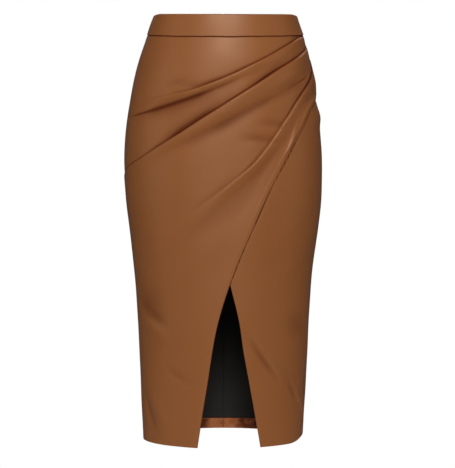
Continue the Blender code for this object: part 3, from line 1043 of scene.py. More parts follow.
@dataclass(frozen=True)
class WovenTape:
    """Ribbed polyester tape."""

    name: str
    colour: tuple = srgb(74, 46, 30)
    rib: float = 0.0009

    def build(self) -> bpy.types.Material:
        """Build the material.

        Returns:
            The material.
        """
        bench = Bench(self.name)
        bands_to_scale = 3.1  # about how many bands a wave texture of scale 1 has to a metre
        ribs = bench.node(
            "ShaderNodeTexWave",
            {"wave_type": "BANDS", "bands_direction": "Z"},
            {
                "Vector": bench.places(),
                "Scale": 1 / self.rib / bands_to_scale,
                "Distortion": 0.4,
                "Detail": 1.0,
            },
            "Fac",
        )
        return bench.finish(
            Base_Color=bench.blend(ribs, self.colour, toned(self.colour, 1.5)),
            Roughness=0.8,
            Normal=bench.bump(ribs, 0.00008),
        )


@dataclass(frozen=True)
class Thread:
    """Twisted thread or moulded nylon, slightly uneven in colour."""

    name: str
    colour: tuple = srgb(112, 66, 34)
    roughness: float = 0.6

    def build(self) -> bpy.types.Material:
        """Build the material.

        Returns:
            The material.
        """
        bench = Bench(self.name)
        uneven = bench.noise(0.0012)
        return bench.finish(
            Base_Color=bench.blend(uneven, self.colour, toned(self.colour, 1.4)),
            Roughness=self.roughness + (uneven - 0.5) * 0.2,
            Normal=bench.bump(uneven, 0.00004),
        )


@dataclass(frozen=True)
class PlatedMetal:
    """Antique brass plating, a little dull with handling."""

    name: str = "plated_metal"
    colour: tuple = srgb(181, 148, 98)

    def build(self) -> bpy.types.Material:
        """Build the material.

        Returns:
            The material.
        """
        bench = Bench(self.name)
        smears = bench.noise(0.004, 4.0)
        return bench.finish(
            Base_Color=bench.blend(smears * 0.5, self.colour, toned(self.colour, 0.45)),
            Metallic=1.0,
            Roughness=0.22 + smears * 0.25,
            Normal=bench.bump(bench.noise(0.0007), 0.00001),
        )


@dataclass(frozen=True)
class PalePaper:
    """Matt studio paper, with the faint mottle of its pulp, fading away at its border."""

    name: str = "pale_paper"
    colour: tuple = (0.86, 0.86, 0.85, 1.0)
    fades: tuple[float, float] = (0.45, 1.2)

    def build(self) -> bpy.types.Material:
        """Build the material.

        Returns:
            The material.
        """
        bench = Bench(self.name)
        level = {"operation": "MULTIPLY"}
        flat = bench.node("ShaderNodeVectorMath", level, {0: bench.places(), 1: (1.0, 1.0, 0.0)})
        away = bench.node("ShaderNodeVectorMath", {"operation": "LENGTH"}, {0: flat}, "Value")
        return bench.finish(
            Base_Color=bench.blend(bench.noise(0.05, 3.0), self.colour, toned(self.colour, 1.04)),
            Roughness=0.9,
            Alpha=bench.ramp(away, self.fades, (1.0, 0.0)),
        )


# ---------------------------------------------------------------- cloth
def placed(name: str, data: bpy.types.ID) -> bpy.types.Object:
    """Put a mesh, a light or a camera into the scene.

    Args:
        name: The object's name.
        data: The mesh, light or camera.

    Returns:
        The object.
    """
    made = bpy.data.objects.new(name, data)
    bpy.context.scene.collection.objects.link(made)
    return made


def made_plain(piece: bpy.types.Object) -> None:
    """Turn what a piece's modifiers make of it into its own mesh.

    Args:
        piece: The piece, which loses its modifiers.
    """
    graph = bpy.context.evaluated_depsgraph_get()
    mesh = bpy.data.meshes.new_from_object(piece.evaluated_get(graph), depsgraph=graph)
    piece.modifiers.clear()
    piece.data = mesh


@dataclass
class Cloth:
    """A wall of cloth between a grid of outer points and one of inner points.

    The grid has an angle and a drop for each row and column, and both faces' distances
    outside the skin. `hollow` is the painted shade, and `cut` the flat width and length
    in mm where they aren't measured on the grid.
    """

    name: str
    angle: np.ndarray
    drop: np.ndarray
    outer: np.ndarray
    inner: np.ndarray
    hollow: np.ndarray | float = 0.0
    cut: tuple[float, float] | None = None

    def finish_edge(self, distance: np.ndarray, edge: Edge, thick: float = LEATHER) -> None:
        """Round or turn in the cloth near one of its borders, and paint shade along it.

        Args:
            distance: Millimetres from the border, for each point.
            edge: How the border is finished.
            thick: The cloth's thickness in mm.
        """
        # painted shade along the border
        dark, width = edge.value
        self.darken(dark * bell(distance, width))
        if edge is Edge.FOLDED:
            radius = thick / 2
            held = 0.96  # leaves the two faces a hair apart at the very edge
            drawn_in = held * radius * (1 - np.sqrt(1 - (1 - np.clip(distance / radius, 0, 1)) ** 2))
            self.outer = self.outer - drawn_in
            self.inner = self.inner + drawn_in
        else:
            reach, depth = 1.9, 0.85
            self.outer = self.outer - depth * (1 - ease(distance / reach)) ** 1.5

    def darken(self, mask: np.ndarray) -> None:
        """Deepen the painted shade where a mask is above it."""
        self.hollow = np.maximum(self.hollow, mask)

    def face(self, out: np.ndarray) -> np.ndarray:
        """Give the points of one face, in metres."""
        return SKIN.place(self.angle, self.drop - hem_lift(self.angle, self.drop), out)

    def walls(self, points: np.ndarray) -> tuple[np.ndarray, np.ndarray]:
        """Join the points by quads that face outwards.

        Args:
            points: Points of the outer face, then those of the inner face.

        Returns:
            The quads, and 1 for each that is in the inner face and 0 for the others.
        """
        rows, columns = self.angle.shape
        start = (np.arange(rows - 1)[:, None] * columns + np.arange(columns - 1)).ravel()
        front = np.stack([start, start + 1, start + columns + 1, start + columns], axis=-1)
        top = np.arange(columns)
        right = np.arange(1, rows) * columns + columns - 1
        bottom = (rows - 1) * columns + np.arange(columns - 2, -1, -1)
        left = np.arange(rows - 2, -1, -1) * columns
        rim = np.concatenate([top, right, bottom, left])
        count = rows * columns
        edge = np.stack([rim[1:], rim[:-1], rim[:-1] + count, rim[1:] + count], axis=-1)
        quads = np.concatenate([front, front[:, ::-1] + count, edge])
        first, second, third, fourth = (points[quads[:, k]] for k in range(4))
        facing = np.cross(third - first, fourth - second)
        if (points[quads].mean(axis=1) * facing).sum() < 0:
            quads = quads[:, ::-1]
        inside = np.zeros(len(quads), dtype=np.int32)
        inside[len(front) : 2 * len(front)] = 1
        return quads, inside

    def build(self, finishes: Finishes) -> bpy.types.Object:
        """Make the mesh.

        Args:
            finishes: Materials of the outer face and rim, and of the inner face.

        Returns:
            The cloth, at the origin, with its place in its mesh.
        """
        points = np.concatenate([self.face(out).reshape(-1, 3) for out in (self.outer, self.inner)])
        quads, inside = self.walls(points)
        mesh = bpy.data.meshes.new(self.name)
        mesh.from_pydata(points.tolist(), [], quads.tolist())
        for finish in finishes:
            mesh.materials.append(finish)
        mesh.polygons.foreach_set("material_index", inside)
        uv = np.stack([self.angle * ROUND_PER_DEGREE, -self.drop], axis=-1).reshape(-1, 2) * MM
        corners = np.empty(len(mesh.loops), dtype=np.int32)
        mesh.loops.foreach_get("vertex_index", corners)
        layer = mesh.uv_layers.new(name="cloth")
        layer.data.foreach_set("uv", np.tile(uv, (2, 1))[corners].astype(np.float32).ravel())
        dark = np.broadcast_to(self.hollow, self.angle.shape).ravel().astype(np.float32)
        mesh.attributes.new("hollow", "FLOAT", "POINT").data.foreach_set("value", np.tile(dark, 2))
        mesh.shade_smooth()
        mesh.update()
        return placed(self.name, mesh)

    def flat_size(self) -> tuple[float, float, float]:
        """Measure the cut: greatest width and length, and area, in metres.

        Returns:
            The width, the length and the area.
        """
        points = SKIN.place(self.angle, self.drop, self.outer)
        across = np.linalg.norm(np.diff(points, axis=1), axis=-1)
        down = np.linalg.norm(np.diff(points, axis=0), axis=-1)
        cross = np.cross(points[1:, 1:] - points[:-1, :-1], points[1:, :-1] - points[:-1, 1:])
        area = float(np.linalg.norm(cross, axis=-1).sum() / 2)
        if self.cut:
            return self.cut[0] * MM, self.cut[1] * MM, area
        return float(across.sum(axis=1).max()), float(down.sum(axis=0).max()), area


def dress(cloth: Cloth, node: str, finishes: Finishes) -> None:
    """Build a cloth panel in the place of its solid.

    Args:
        cloth: The panel.
        node: The solid that it stands for.
        finishes: Materials of its outer and inner face.
    """
    made = cloth.build(finishes)
    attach(made, "skirt")
    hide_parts(node)
    width, length, area = cloth.flat_size()
    min(area, width * length)
    triangles = 2 * len(made.data.polygons)
    LOG.info("%s: %d triangles, %.0f x %.0f mm flat", made.name, triangles, width / MM, length / MM)


# ---------------------------------------------------------------- stitches, coil and metal
@dataclass(frozen=True)
class Beads:
    """Small rounded shapes set evenly along lines: stitches or zip teeth. Sizes in mm."""

    name: str
    pitch: float
    length: float
    width: float
    height: float
    uneven: float = 0.08
    seed: int = 7

    def recipe(self, finish: bpy.types.Material) -> Recipe:
        """Build the tree that sets a bead at each pitch, turned along its line.

        Args:
            finish: The beads' material.

        Returns:
            The tree.
        """
        recipe = Recipe(
            self.name,
            Pitch=self.pitch * MM,
            Length=self.length * MM,
            Width=self.width * MM,
            Height=self.height * MM,
            Uneven=self.uneven,
        )
        line = recipe.node("GeometryNodeMeshToCurve", values={"Mesh": recipe.given("Geometry")})
        even = recipe.node(
            "GeometryNodeResampleCurve",
            {"mode": "LENGTH"},
            {"Curve": line, "Length": recipe.given("Pitch")},
        )
        outward = recipe.node(
            "GeometryNodeInputNamedAttribute", {"data_type": "FLOAT_VECTOR"}, {"Name": "outward"}
        )
        upright = recipe.node("FunctionNodeAlignRotationToVector", {"axis": "Z"}, {"Vector": outward})
        turned = recipe.node(
            "FunctionNodeAlignRotationToVector",
            {"axis": "X", "pivot_axis": "Z"},
            {"Rotation": upright, "Vector": recipe.node("GeometryNodeInputTangent")},
        )
        uneven = recipe.given("Uneven")
        chance = recipe.node(
            "FunctionNodeRandomValue",
            {"data_type": "FLOAT"},
            {2: 1.0 - uneven, 3: 1.0 + uneven, "Seed": self.seed},
            1,
        )
        sides = {0: recipe.given("Length"), 1: recipe.given("Width"), 2: recipe.given("Height")}
        scale = recipe.node(
            "ShaderNodeVectorMath",
            {"operation": "SCALE"},
            {0: recipe.node("ShaderNodeCombineXYZ", values=sides), "Scale": chance},
        )
        bead = recipe.node("GeometryNodeMeshUVSphere", values={"Segments": 8, "Rings": 6, "Radius": 0.5})
        copies = recipe.node(
            "GeometryNodeInstanceOnPoints",
            values={"Points": even, "Instance": bead, "Rotation": turned, "Scale": scale},
        )
        recipe.finish(copies, finish)
        return recipe

    def along(self, lines: list[np.ndarray], finish: bpy.types.Material, slot: str) -> None:
        """Set the beads along lines, as one plain mesh that rides on the skirt.

        Args:
            lines: For each line, rows of (angle, drop, out).
            finish: The beads' material.
            slot: The record's material slot, which is not used.
        """
        points = np.concatenate([SKIN.place(*line.T) for line in lines])
        lifted = np.concatenate([SKIN.place(line[:, 0], line[:, 1], line[:, 2] + 1.0) for line in lines])
        ends = np.cumsum([len(line) for line in lines])
        edges = [(k, k + 1) for k in range(len(points) - 1) if k + 1 not in ends]
        guide = bpy.data.meshes.new(self.name)
        guide.from_pydata(points.tolist(), edges, [])
        outward = guide.attributes.new("outward", "FLOAT_VECTOR", "POINT")
        outward.data.foreach_set("vector", ((lifted - points) / MM).astype(np.float32).ravel())
        made = placed(self.name, guide)
        recipe = self.recipe(finish)
        modifier = made.modifiers.new("beads", "NODES")
        modifier.node_group = recipe.tree
        for item in recipe.tree.interface.items_tree:
            if item.in_out == "INPUT" and item.socket_type == "NodeSocketFloat":
                modifier[item.identifier] = item.default_value
        made_plain(made)
        made.data.name = self.name
        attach(made, "skirt")
        LOG.info("%s: %d faces", self.name, len(made.data.polygons))


def soften(node: str, body: str, finish: bpy.types.Material, bevel: float) -> None:
    """Replace a hard node by a copy whose edges are rounded.

    Args:
        node: The solid, which the copy stands for.
        body: The body that carries it.
        finish: Its material.
        bevel: Width of the rounding in mm.
    """
    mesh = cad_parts[node].data.copy()
    mesh.name = f"{node}_cast"
    work = bmesh.new()
    work.from_mesh(mesh)
    bmesh.ops.remove_doubles(work, verts=work.verts, dist=0.00001)
    bmesh.ops.dissolve_limit(work, angle_limit=math.radians(1), verts=work.verts, edges=work.edges)
    work.to_mesh(mesh)
    work.free()
    mesh.materials.clear()
    mesh.materials.append(finish)
    made = placed(mesh.name, mesh)
    modifier = made.modifiers.new("rounding", "BEVEL")
    modifier.width = bevel * MM
    modifier.segments = 3
    modifier.limit_method = "ANGLE"
    modifier.angle_limit = math.radians(40)
    made_plain(made)
    made.data.shade_smooth()
    made.data.set_sharp_from_angle(angle=math.radians(50))
    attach(made, body)
    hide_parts(node)
    LOG.info("%s: %d faces", made.name, len(made.data.polygons))


@dataclass(frozen=True)
class Sewing:
    """Stitches that hold the inside together, and the zip's coil. Sizes in mm."""

    tape_stitches: Beads = Beads("tape_stitches", 2.6, 2.08, 0.42, 0.42)
    hem_slips: Beads = Beads("hem_slip_stitches", 9.0, 2.2, 0.5, 0.5, 0.25)
    lining_stitches: Beads = Beads("lining_hem_stitches", 2.6, 2.08, 0.42, 0.42)
    coil: Beads = Beads("zip_coil", 0.76, 0.62, 1.3, 1.25, 0.0)
    tape_rows: tuple[float, float] = (3.2, 8.5)  # from the tape's inner edge
    coil_top: float = -23.0  # just below the slider
    lining_hem: float = 14.0  # its stitches above the turned hem's edge

    def curve(self, side: Side, away: float, drops: tuple[float, float], out: float) -> np.ndarray:
        """Lay a line down the back, `away` mm from the middle.

        Args:
            side: Which half of the back.
            away: Millimetres from the centre back.
            drops: Where the line starts and ends.
            out: Millimetres outside the skin.

        Returns:
            Rows of (angle, drop, out).
        """
        drop = np.linspace(*drops, 90)
        angle = SKIN.moved_round(side.value * 180.0, drop, -side.value * away)
        return np.stack([angle, drop, out + relief(BACK_WRINKLES, angle, drop)], axis=-1)

    def round_back(self, side: Side, drop: float, out: float) -> np.ndarray:
        """Lay a line round half of the back at one drop.

        Args:
            side: Which half of the back.
            drop: Millimetres below the waist seam.
            out: Millimetres outside the skin.

        Returns:
            Rows of (angle, drop, out).
        """
        angle = np.linspace(side.value * 179.7, side.value * 90.6, 90)
        drops = np.full(angle.shape, drop)
        outs = out + relief(BACK_WRINKLES, angle, drops)
        return np.stack([angle, drops - hem_lift(angle, drops), outs], axis=-1)

    def build(
        self, thread: bpy.types.Material, nylon: bpy.types.Material, black: bpy.types.Material
    ) -> None:
        """Sew everything.

        Args:
            thread: Brown thread.
            nylon: Nylon of the zip's coil.
            black: The lining's thread.
        """
        tape_face = -LEATHER - SEAM_GAP - TAPE_WALL
        span = (TAPE_TOP + 4, ZIP_END - 4)
        lines = [
            self.curve(side, ZIP_GAP / 2 + row, span, tape_face) for side in Side for row in self.tape_rows
        ]
        self.tape_stitches.along(lines, thread, "zip_tape")
        hem_top = SKIRT_DROP - HEM_TURN
        hem_face = -2 * LEATHER - SEAM_GAP
        lines = [self.round_back(side, hem_top + 0.4, hem_face) for side in Side]
        self.hem_slips.along(lines, thread, "turned_hem")
        lining_face = -LEATHER - 2 * SEAM_GAP - LINING_WALL
        lines = [self.round_back(side, hem_top - self.lining_hem, lining_face - 0.5) for side in Side]
        self.lining_stitches.along(lines, black, "lining")
        lines = [
            self.curve(side, 0.17, (self.coil_top + offset, ZIP_END - 2), -1.5)
            for side, offset in ((Side.LEFT, 0.0), (Side.RIGHT, self.coil.pitch / 2))
        ]
        self.coil.along(lines, nylon, "zip_tape")


# ---------------------------------------------------------------- panels
@dataclass(frozen=True)
class WrapFront:
    """The asymmetric front, with its tucks and the slanting folded edge. Sizes in mm."""

    columns: int = 220
    line_length: float = 560.0  # of a row line, about
    lap: float = 35.0  # over which the wrap lifts on to the panel under it
    held_by_band: float = 7.0  # below the waist seam, where the cloth is kept flat
    slant: float = 0.85  # turns a distance on the level into one square to the free edge
    taken_across: float = 8.0  # cloth that the tucks take up
    taken_down: float = 12.0
    shade_from: float = 0.6  # how deep the cloth has sunk where the painted shade begins
    shade_run: float = 4.2  # and how much deeper it would have to be for full shade
    shade_most: float = 0.8
    ridge_inset: float = 5.8  # of the ridge along the free edge
    ridge_width: float = 2.3
    ridge_heights: Table = ((96, 0), (122, 1.1), (185, 1.0), (235, 0.3), (420, 0.15), (704, 0.3))
    spans: tuple = (
        # line above, line below, even rows between them
        (WAIST_LINE, FIRST_TUCK, 9),
        (FIRST_TUCK, HIP_HOLLOW, 6),
        (HIP_HOLLOW, SECOND_TUCK, 6),
        (SECOND_TUCK, BELLY_HOLLOW, 8),
        (BELLY_HOLLOW, THIRD_TUCK, 16),
        (THIRD_TUCK, THIGH_HOLLOW, 12),
        (THIGH_HOLLOW, HEM_LINE, 34),
        (HEM_LINE, WRAP_EDGE, 30),
    )

    def inside(self, angle: np.ndarray, drop: np.ndarray) -> np.ndarray:
        """Give mm inside the free edge; negative where the wrap doesn't reach.

        Args:
            angle: Degrees round the body.
            drop: Millimetres below the waist seam.

        Returns:
            Distances in mm.
        """
        edge = np.array(WRAP_EDGE.points, float)
        edge_angle = np.interp(drop, edge[:, 1], edge[:, 0])
        above = np.clip(edge[0, 1] - drop, 0, None)
        return (edge_angle - angle) * SKIN.mm_per_degree(angle, drop) * self.slant + above

    def widest(self) -> float:
        """Measure the panel's greatest width, in mm, on the level.

        Returns:
            The width.
        """
        edge = np.array(WRAP_EDGE.points, float)
        widths = []
        for drop in np.linspace(20, 400, 39):
            angles = np.linspace(-90, np.interp(drop, edge[:, 1], edge[:, 0]), 121)
            widths.append(SKIN.mm_per_degree(angles, drop).mean() * (angles[-1] - angles[0]))
        return max(widths) + self.taken_across

    def rows(self, share: np.ndarray) -> np.ndarray:
        """Lay the row lines from the waist seam to the free edge.

        Args:
            share: Share along each line of the columns.

        Returns:
            (angle, drop) of each row and column.
        """
        tucks = [fold.line for fold in FOLDS if fold.stands_up]
        rows_below = {WAIST_LINE: RIM[1:], HIP_HOLLOW: BELOW_HOLLOW} | dict.fromkeys(tucks, BELOW_TUCK)
        rows_above = {WRAP_EDGE: RIM[:0:-1], HIP_HOLLOW: ABOVE_HOLLOW} | dict.fromkeys(tucks, ABOVE_TUCK)
        most = 0.42  # a cluster of rows never takes more of the span than this
        grid = [WAIST_LINE.at(share)[None]]
        for above, below, even in self.spans:
            top, foot = above.at(share), below.at(share)
            step = foot - top
            gap = np.hypot(step[:, 0] * SKIN.mm_per_degree(top[:, 0], top[:, 1]), step[:, 1])
            near = rows_below.get(above, ())
            far = rows_above.get(below, ())
            first = [d / np.maximum(gap, near[-1] / most) for d in near]
            last = [1 - d / np.maximum(gap, far[0] / most) for d in far]
            start = first[-1] if first else np.zeros_like(gap)
            end = last[0] if last else np.ones_like(gap)
            between = [start + (end - start) * k / even for k in range(1, even)]
            parts = np.array([*first, *between, *last, np.ones_like(gap)])
            grid.append(top + step * parts[..., None])
        return np.concatenate(grid)

    def cloth(self) -> Cloth:
        """Shape the panel.

        Returns:
            The panel.
        """
        ends = np.array(RIM) / self.line_length
        share = spaced(0.0, 1.0, self.columns, ends, ends)
        grid = self.rows(share)
        angle, drop = grid[..., 0], grid[..., 1]
        outers, inners, darks = zip(*(fold.heights(share, angle, drop) for fold in FOLDS))
        held = ease(drop / self.held_by_band)
        outer = sum(outers) * held
        inner = np.minimum(sum(inners) * held, outer)
        lift = (LEATHER + LAYER_GAP) * (1 - ease(self.inside(angle, drop) / self.lap))
        _, beyond = WRAP_EDGE.beside(angle, drop)
        turned_edge = graded(self.ridge_heights, drop) * bell(beyond + self.ridge_inset, self.ridge_width)
        wrinkles = relief(FRONT_WRINKLES, angle, drop) * held
        base = lift + wrinkles + turned_edge + relief(SIDE_SWELLS[:2], angle, drop)
        # Painted shade: deeper where the folds sink, and in the wrinkles' troughs and along the creases.
        sunk = np.clip((-outer - self.shade_from) / self.shade_run, 0, self.shade_most)
        shade = sunk + trough_shade(wrinkles, 0.17)
        waist_end = bell(drop, 2.6) * ease((angle - 52) / 12)  # painted shade where the tucks reach the band
        notch = bell(drop - 98, 5.0) * ease((angle - 84) / 4)  # painted shadow between the seam's two swells
        shade = np.max([shade, *darks, waist_end, notch], axis=0)
        scale = SKIN.mm_per_degree(angle, drop)
        limit = 90 - SEWN_GAP / 2 / scale
        angle = np.clip(angle, -limit, limit)
        panel = Cloth(
            "wrap_front_cloth",
            angle,
            drop + waist_sag(angle) * (1 - ease(drop / 30)),
            base + outer,
            base + inner - LEATHER,
            np.clip(shade, 0, 1),
            (self.widest(), SKIRT_DROP + self.taken_down),
        )
        panel.finish_edge(drop - SEAM_GAP, Edge.SEWN)
        panel.finish_edge((limit - angle) * scale, Edge.SEWN)
        panel.finish_edge((limit + angle) * scale, Edge.SEWN)
        panel.finish_edge(SKIRT_DROP - drop, Edge.FOLDED)
        panel.finish_edge(-beyond, Edge.FOLDED)
        # painted shadow along the wrap's free edge, below the side seam
        panel.darken(0.9 * bell(beyond, 0.75) * ease((drop - EDGE_SHOWS) / 10))
        return panel

    def seam_heights(self, drop: np.ndarray, side: Side) -> np.ndarray:
        """Give how far the folds stand out where they meet a side seam.

        Args:
            drop: Millimetres below the waist seam.
            side: Which of the two seams.

        Returns:
            Heights in mm.
        """
        share = np.array([0.0, 0.004]) if side is Side.RIGHT else np.array([0.996, 1.0])
        rows = self.rows(share)
        total = sum(fold.heights(share, rows[..., 0], rows[..., 1])[0] for fold in FOLDS)
        k = 0 if side is Side.RIGHT else 1
        on_seam = np.abs(rows[:, k, 0]) > 89.0
        heights = total[on_seam, k] * ease(rows[on_seam, k, 1] / self.held_by_band)
        return np.interp(drop, rows[on_seam, k, 1], heights, right=0.0)


@dataclass(frozen=True)
class UnderFront:
    """The right front, under the wrap above and beside the slit below. Sizes in mm."""

    wrap: WrapFront
    rows: int = 150
    columns: int = 110
    sink_waist: float = 2.6  # how far it lies inside the wrap at the waist
    sink_full: float = 6.5  # and from `sink_run` downwards
    sink_run: float = 50.0
    press: float = 1.2  # how far the wrap's edge presses it in

    def cloth(self) -> Cloth:
        """Shape the panel.

        Returns:
            The panel.
        """
        drop = level_rows(SEAM_GAP, SKIRT_DROP, self.rows)
        near = through(*UNDER_EDGE, drop)
        far = SKIN.moved_round(90, drop, -SEWN_GAP / 2)
        scale_near = SKIN.mm_per_degree(near, drop)
        scale_far = SKIN.mm_per_degree(far, drop)
        angle = SKIN.spread(near, far, drop, self.columns)
        drop = np.broadcast_to(drop, angle.shape)
        full = self.sink_waist + (self.sink_full - self.sink_waist) * ease(drop / self.sink_run)
        inside = self.wrap.inside(angle, drop)
        sunk = full * ease(inside / self.wrap.lap)
        pressed = bell(inside - 0.4, 0.9) * ease((drop - EDGE_SHOWS) / 12)  # by the wrap's edge
        swell = relief(SIDE_SWELLS, angle, drop) * (1 - ease(inside / 12))
        wrinkles = relief(UNDER_WRINKLES, angle, drop)
        out = wrinkles + swell - sunk - self.press * pressed
        # painted shadow under the wrap's edge, and painted shade in the wrinkles' troughs
        shade = np.maximum(0.92 * pressed, trough_shade(wrinkles, 0.2))
        panel = Cloth("under_front_cloth", angle, drop, out, out - LEATHER, shade)
        panel.finish_edge(drop - SEAM_GAP, Edge.SEWN)
        panel.finish_edge((far - angle) * scale_far, Edge.SEWN)
        panel.finish_edge((angle - near) * scale_near, Edge.FOLDED)
        panel.finish_edge(SKIRT_DROP - drop, Edge.FOLDED)
        return panel


@dataclass(frozen=True)
class BackPanel:
    """One half of the back, with its dart, its edge of the zip and the layers inside it."""

    side: Side
    wrap: WrapFront
    rows: int = 120
    columns: int = 80
    dart_share: float = 0.30  # of the way from the centre back to the side seam
    dart_length: float = 118.0
    dart_depth: float = 0.6
    pucker: float = 0.5  # round the dart's point
    fold_run: float = 11.0  # over which the front's folds die away past the side seam

    def centre_gap(self, drop: np.ndarray) -> np.ndarray:
        """Give mm from the middle to the panel's edge."""
        return ZIP_GAP / 2 + (SEWN_GAP - ZIP_GAP) / 2 * ease((drop - ZIP_END) / ZIP_FOOT)

    def columns_at(self, drop: np.ndarray, inset: Any, dart: bool) -> np.ndarray:
        """Spread the columns from the centre back to the side seam.

        Args:
            drop: Millimetres below the waist seam, one for each row.
            inset: Millimetres between the panel's edge and the layer's own.
            dart: Whether columns gather at the dart.

        Returns:
            The angle of each row and column.
        """
        way = self.side.value
        near = SKIN.moved_round(way * 180, drop, -way * (self.centre_gap(drop) + inset))
        far = SKIN.moved_round(way * 90, drop, way * SEWN_GAP / 2)
        if not dart:
            return SKIN.spread(near, far, drop, self.columns)
        middle = near + (far - near) * self.dart_share
        inner_count = round(self.columns * self.dart_share)
        one = SKIN.spread(near, middle, drop, inner_count)
        two = SKIN.spread(middle, far, drop, self.columns - inner_count)
        return np.concatenate([one, two[:, 1:]], axis=1)

    def cloth(self) -> Cloth:
        """Shape the outer panel.

        Returns:
            The panel.
        """
        drop = level_rows(SEAM_GAP, SKIRT_DROP, self.rows)
        angle = self.columns_at(drop, 0.0, True)
        near, far = angle[:, :1], angle[:, -1:]
        middle = near + (far - near) * self.dart_share
        drop = np.broadcast_to(drop, angle.shape)
        from_dart = SKIN.apart(angle, middle, drop)
        groove = self.dart_depth * bell(from_dart, 0.7) * (1 - ease((drop / self.dart_length - 0.82) / 0.18))
        pucker = self.pucker * bell(from_dart, 9.0) * bell(drop - self.dart_length, 16.0)
        from_side = SKIN.apart(angle, far, drop)
        at_seam = self.wrap.seam_heights(drop[:, 0], self.side)[:, None]
        swell = relief(SIDE_SWELLS, angle, drop) if self.side is Side.RIGHT else 0.0
        follows = at_seam * np.exp(-from_side / self.fold_run)
        out = relief(BACK_WRINKLES, angle, drop) - groove + pucker + follows + swell
        # painted shade in the dart's groove
        shade = groove / self.dart_depth * 0.5
        panel = Cloth(f"back_{self.side.word}_cloth", angle, drop, out, out - LEATHER, shade)
        panel.finish_edge(drop - SEAM_GAP, Edge.SEWN)
        panel.finish_edge(from_side, Edge.SEWN)
        panel.finish_edge(SKIN.apart(angle, near, drop), Edge.SEWN)
        panel.finish_edge(SKIRT_DROP - drop, Edge.FOLDED)
        return panel

    def lining(self) -> Cloth:
        """Shape the lining, which hangs a little loose inside the panel.

        Returns:
            The lining.
        """
        foot = SKIRT_DROP - HEM_TURN - SEAM_GAP
        drop = level_rows(1.0, foot, self.rows)
        beside_zip = TAPE_WIDTH + SEAM_GAP * 2
        inset = beside_zip - (beside_zip + SEWN_GAP / 2) * ease((drop - ZIP_END) / ZIP_FOOT)
        angle = self.columns_at(drop, inset, False)
        drop = np.broadcast_to(drop, angle.shape)
        round_mm = angle * 2.3
        # Upright waves, about 57 and 32 mm wide, that waver on their way down.
        wide = 0.5 * np.sin(round_mm / 9.0 + 0.6 * np.sin(drop / 70))
        ripple = wide + 0.3 * np.sin(round_mm / 5.1 + drop / 90)
        slack = ease(drop / 120) * ease((foot - drop) / 60)
        out = -LEATHER - 2 * SEAM_GAP + relief(BACK_WRINKLES, angle, drop) + (ripple - 0.8) * 0.8 * slack
        from_middle = SKIN.apart(angle, angle[:, :1], drop)
        sewn = (1 - ease(from_middle / 1.5)) * ease((drop - ZIP_END) / ZIP_FOOT)
        inner = out - LINING_WALL * (1 - 0.9 * sewn)
        panel = Cloth(f"lining_{self.side.word}_cloth", angle, drop, out, inner)
        panel.finish_edge(foot - drop, Edge.FOLDED, LINING_WALL)
        return panel

    def hem_turn(self) -> Cloth:
        """Shape the turned-up hem inside the panel's foot.

        Returns:
            The turned-up hem.
        """
        top = SKIRT_DROP - HEM_TURN
        drop = level_rows(top, SKIRT_DROP, 14)
        angle = self.columns_at(drop, -SEWN_GAP / 2, False)
        drop = np.broadcast_to(drop, angle.shape)
        round_mm = angle * 2.1
        # Puckers of the turned edge, about 19, 13 and 44 mm wide.
        ripple = (
            np.sin(round_mm / 3.1 + drop / 3.4)
            + 0.7 * np.sin(round_mm / 2.1 - drop / 2.6)
            + np.sin(round_mm / 7.0 + 0.8 * np.sin(drop / 4.0))
        )
        height = ease((drop - top) / 5) * ease((SKIRT_DROP - drop) / 4)
        from_middle = SKIN.apart(angle, angle[:, :1], drop)
        seam = 1 - ease(from_middle / 1.4)
        out = -LEATHER - SEAM_GAP + relief(BACK_WRINKLES, angle, drop)
        inner = out - LEATHER + ripple * 0.4 * height + 0.7 * seam
        # Painted shade: in the puckers' hollows, darker away from the middle, along the centre back seam and
        # at both folded edges.
        ripple_shade = 0.3 * np.clip(ripple / 2.7, 0, 1) * height
        shade = ripple_shade + 0.8 * ease((from_middle - 18) / 18) + 0.3 * seam
        edge_shade = 1 - ease((drop - top) / 1.8) + 0.6 * (1 - ease((SKIRT_DROP - drop) / 1.4))
        shade = np.clip(np.maximum(shade, edge_shade), 0, 1)
        panel = Cloth(f"hem_turn_{self.side.word}_cloth", angle, drop, out, inner, shade)
        panel.finish_edge(drop - top, Edge.FOLDED)
        panel.finish_edge(SKIRT_DROP - drop, Edge.FOLDED)
        return panel

    def tape(self) -> Cloth:
        """Shape the zip tape behind the panel's and the band's edge.

        Returns:
            The tape.
        """
        way = self.side.value
        drop = np.linspace(TAPE_TOP, ZIP_END, 90)[:, None]
        away = np.linspace(ZIP_GAP / 2, ZIP_GAP / 2 + TAPE_WIDTH, 10)
        angle = SKIN.moved_round(way * 180, drop, -way * away)
        drop = np.broadcast_to(drop, angle.shape)
        out = -LEATHER - SEAM_GAP + relief(BACK_WRINKLES, angle, drop)
        return Cloth(f"zip_tape_{self.side.word}_cloth", angle, drop, out, out - TAPE_WALL)


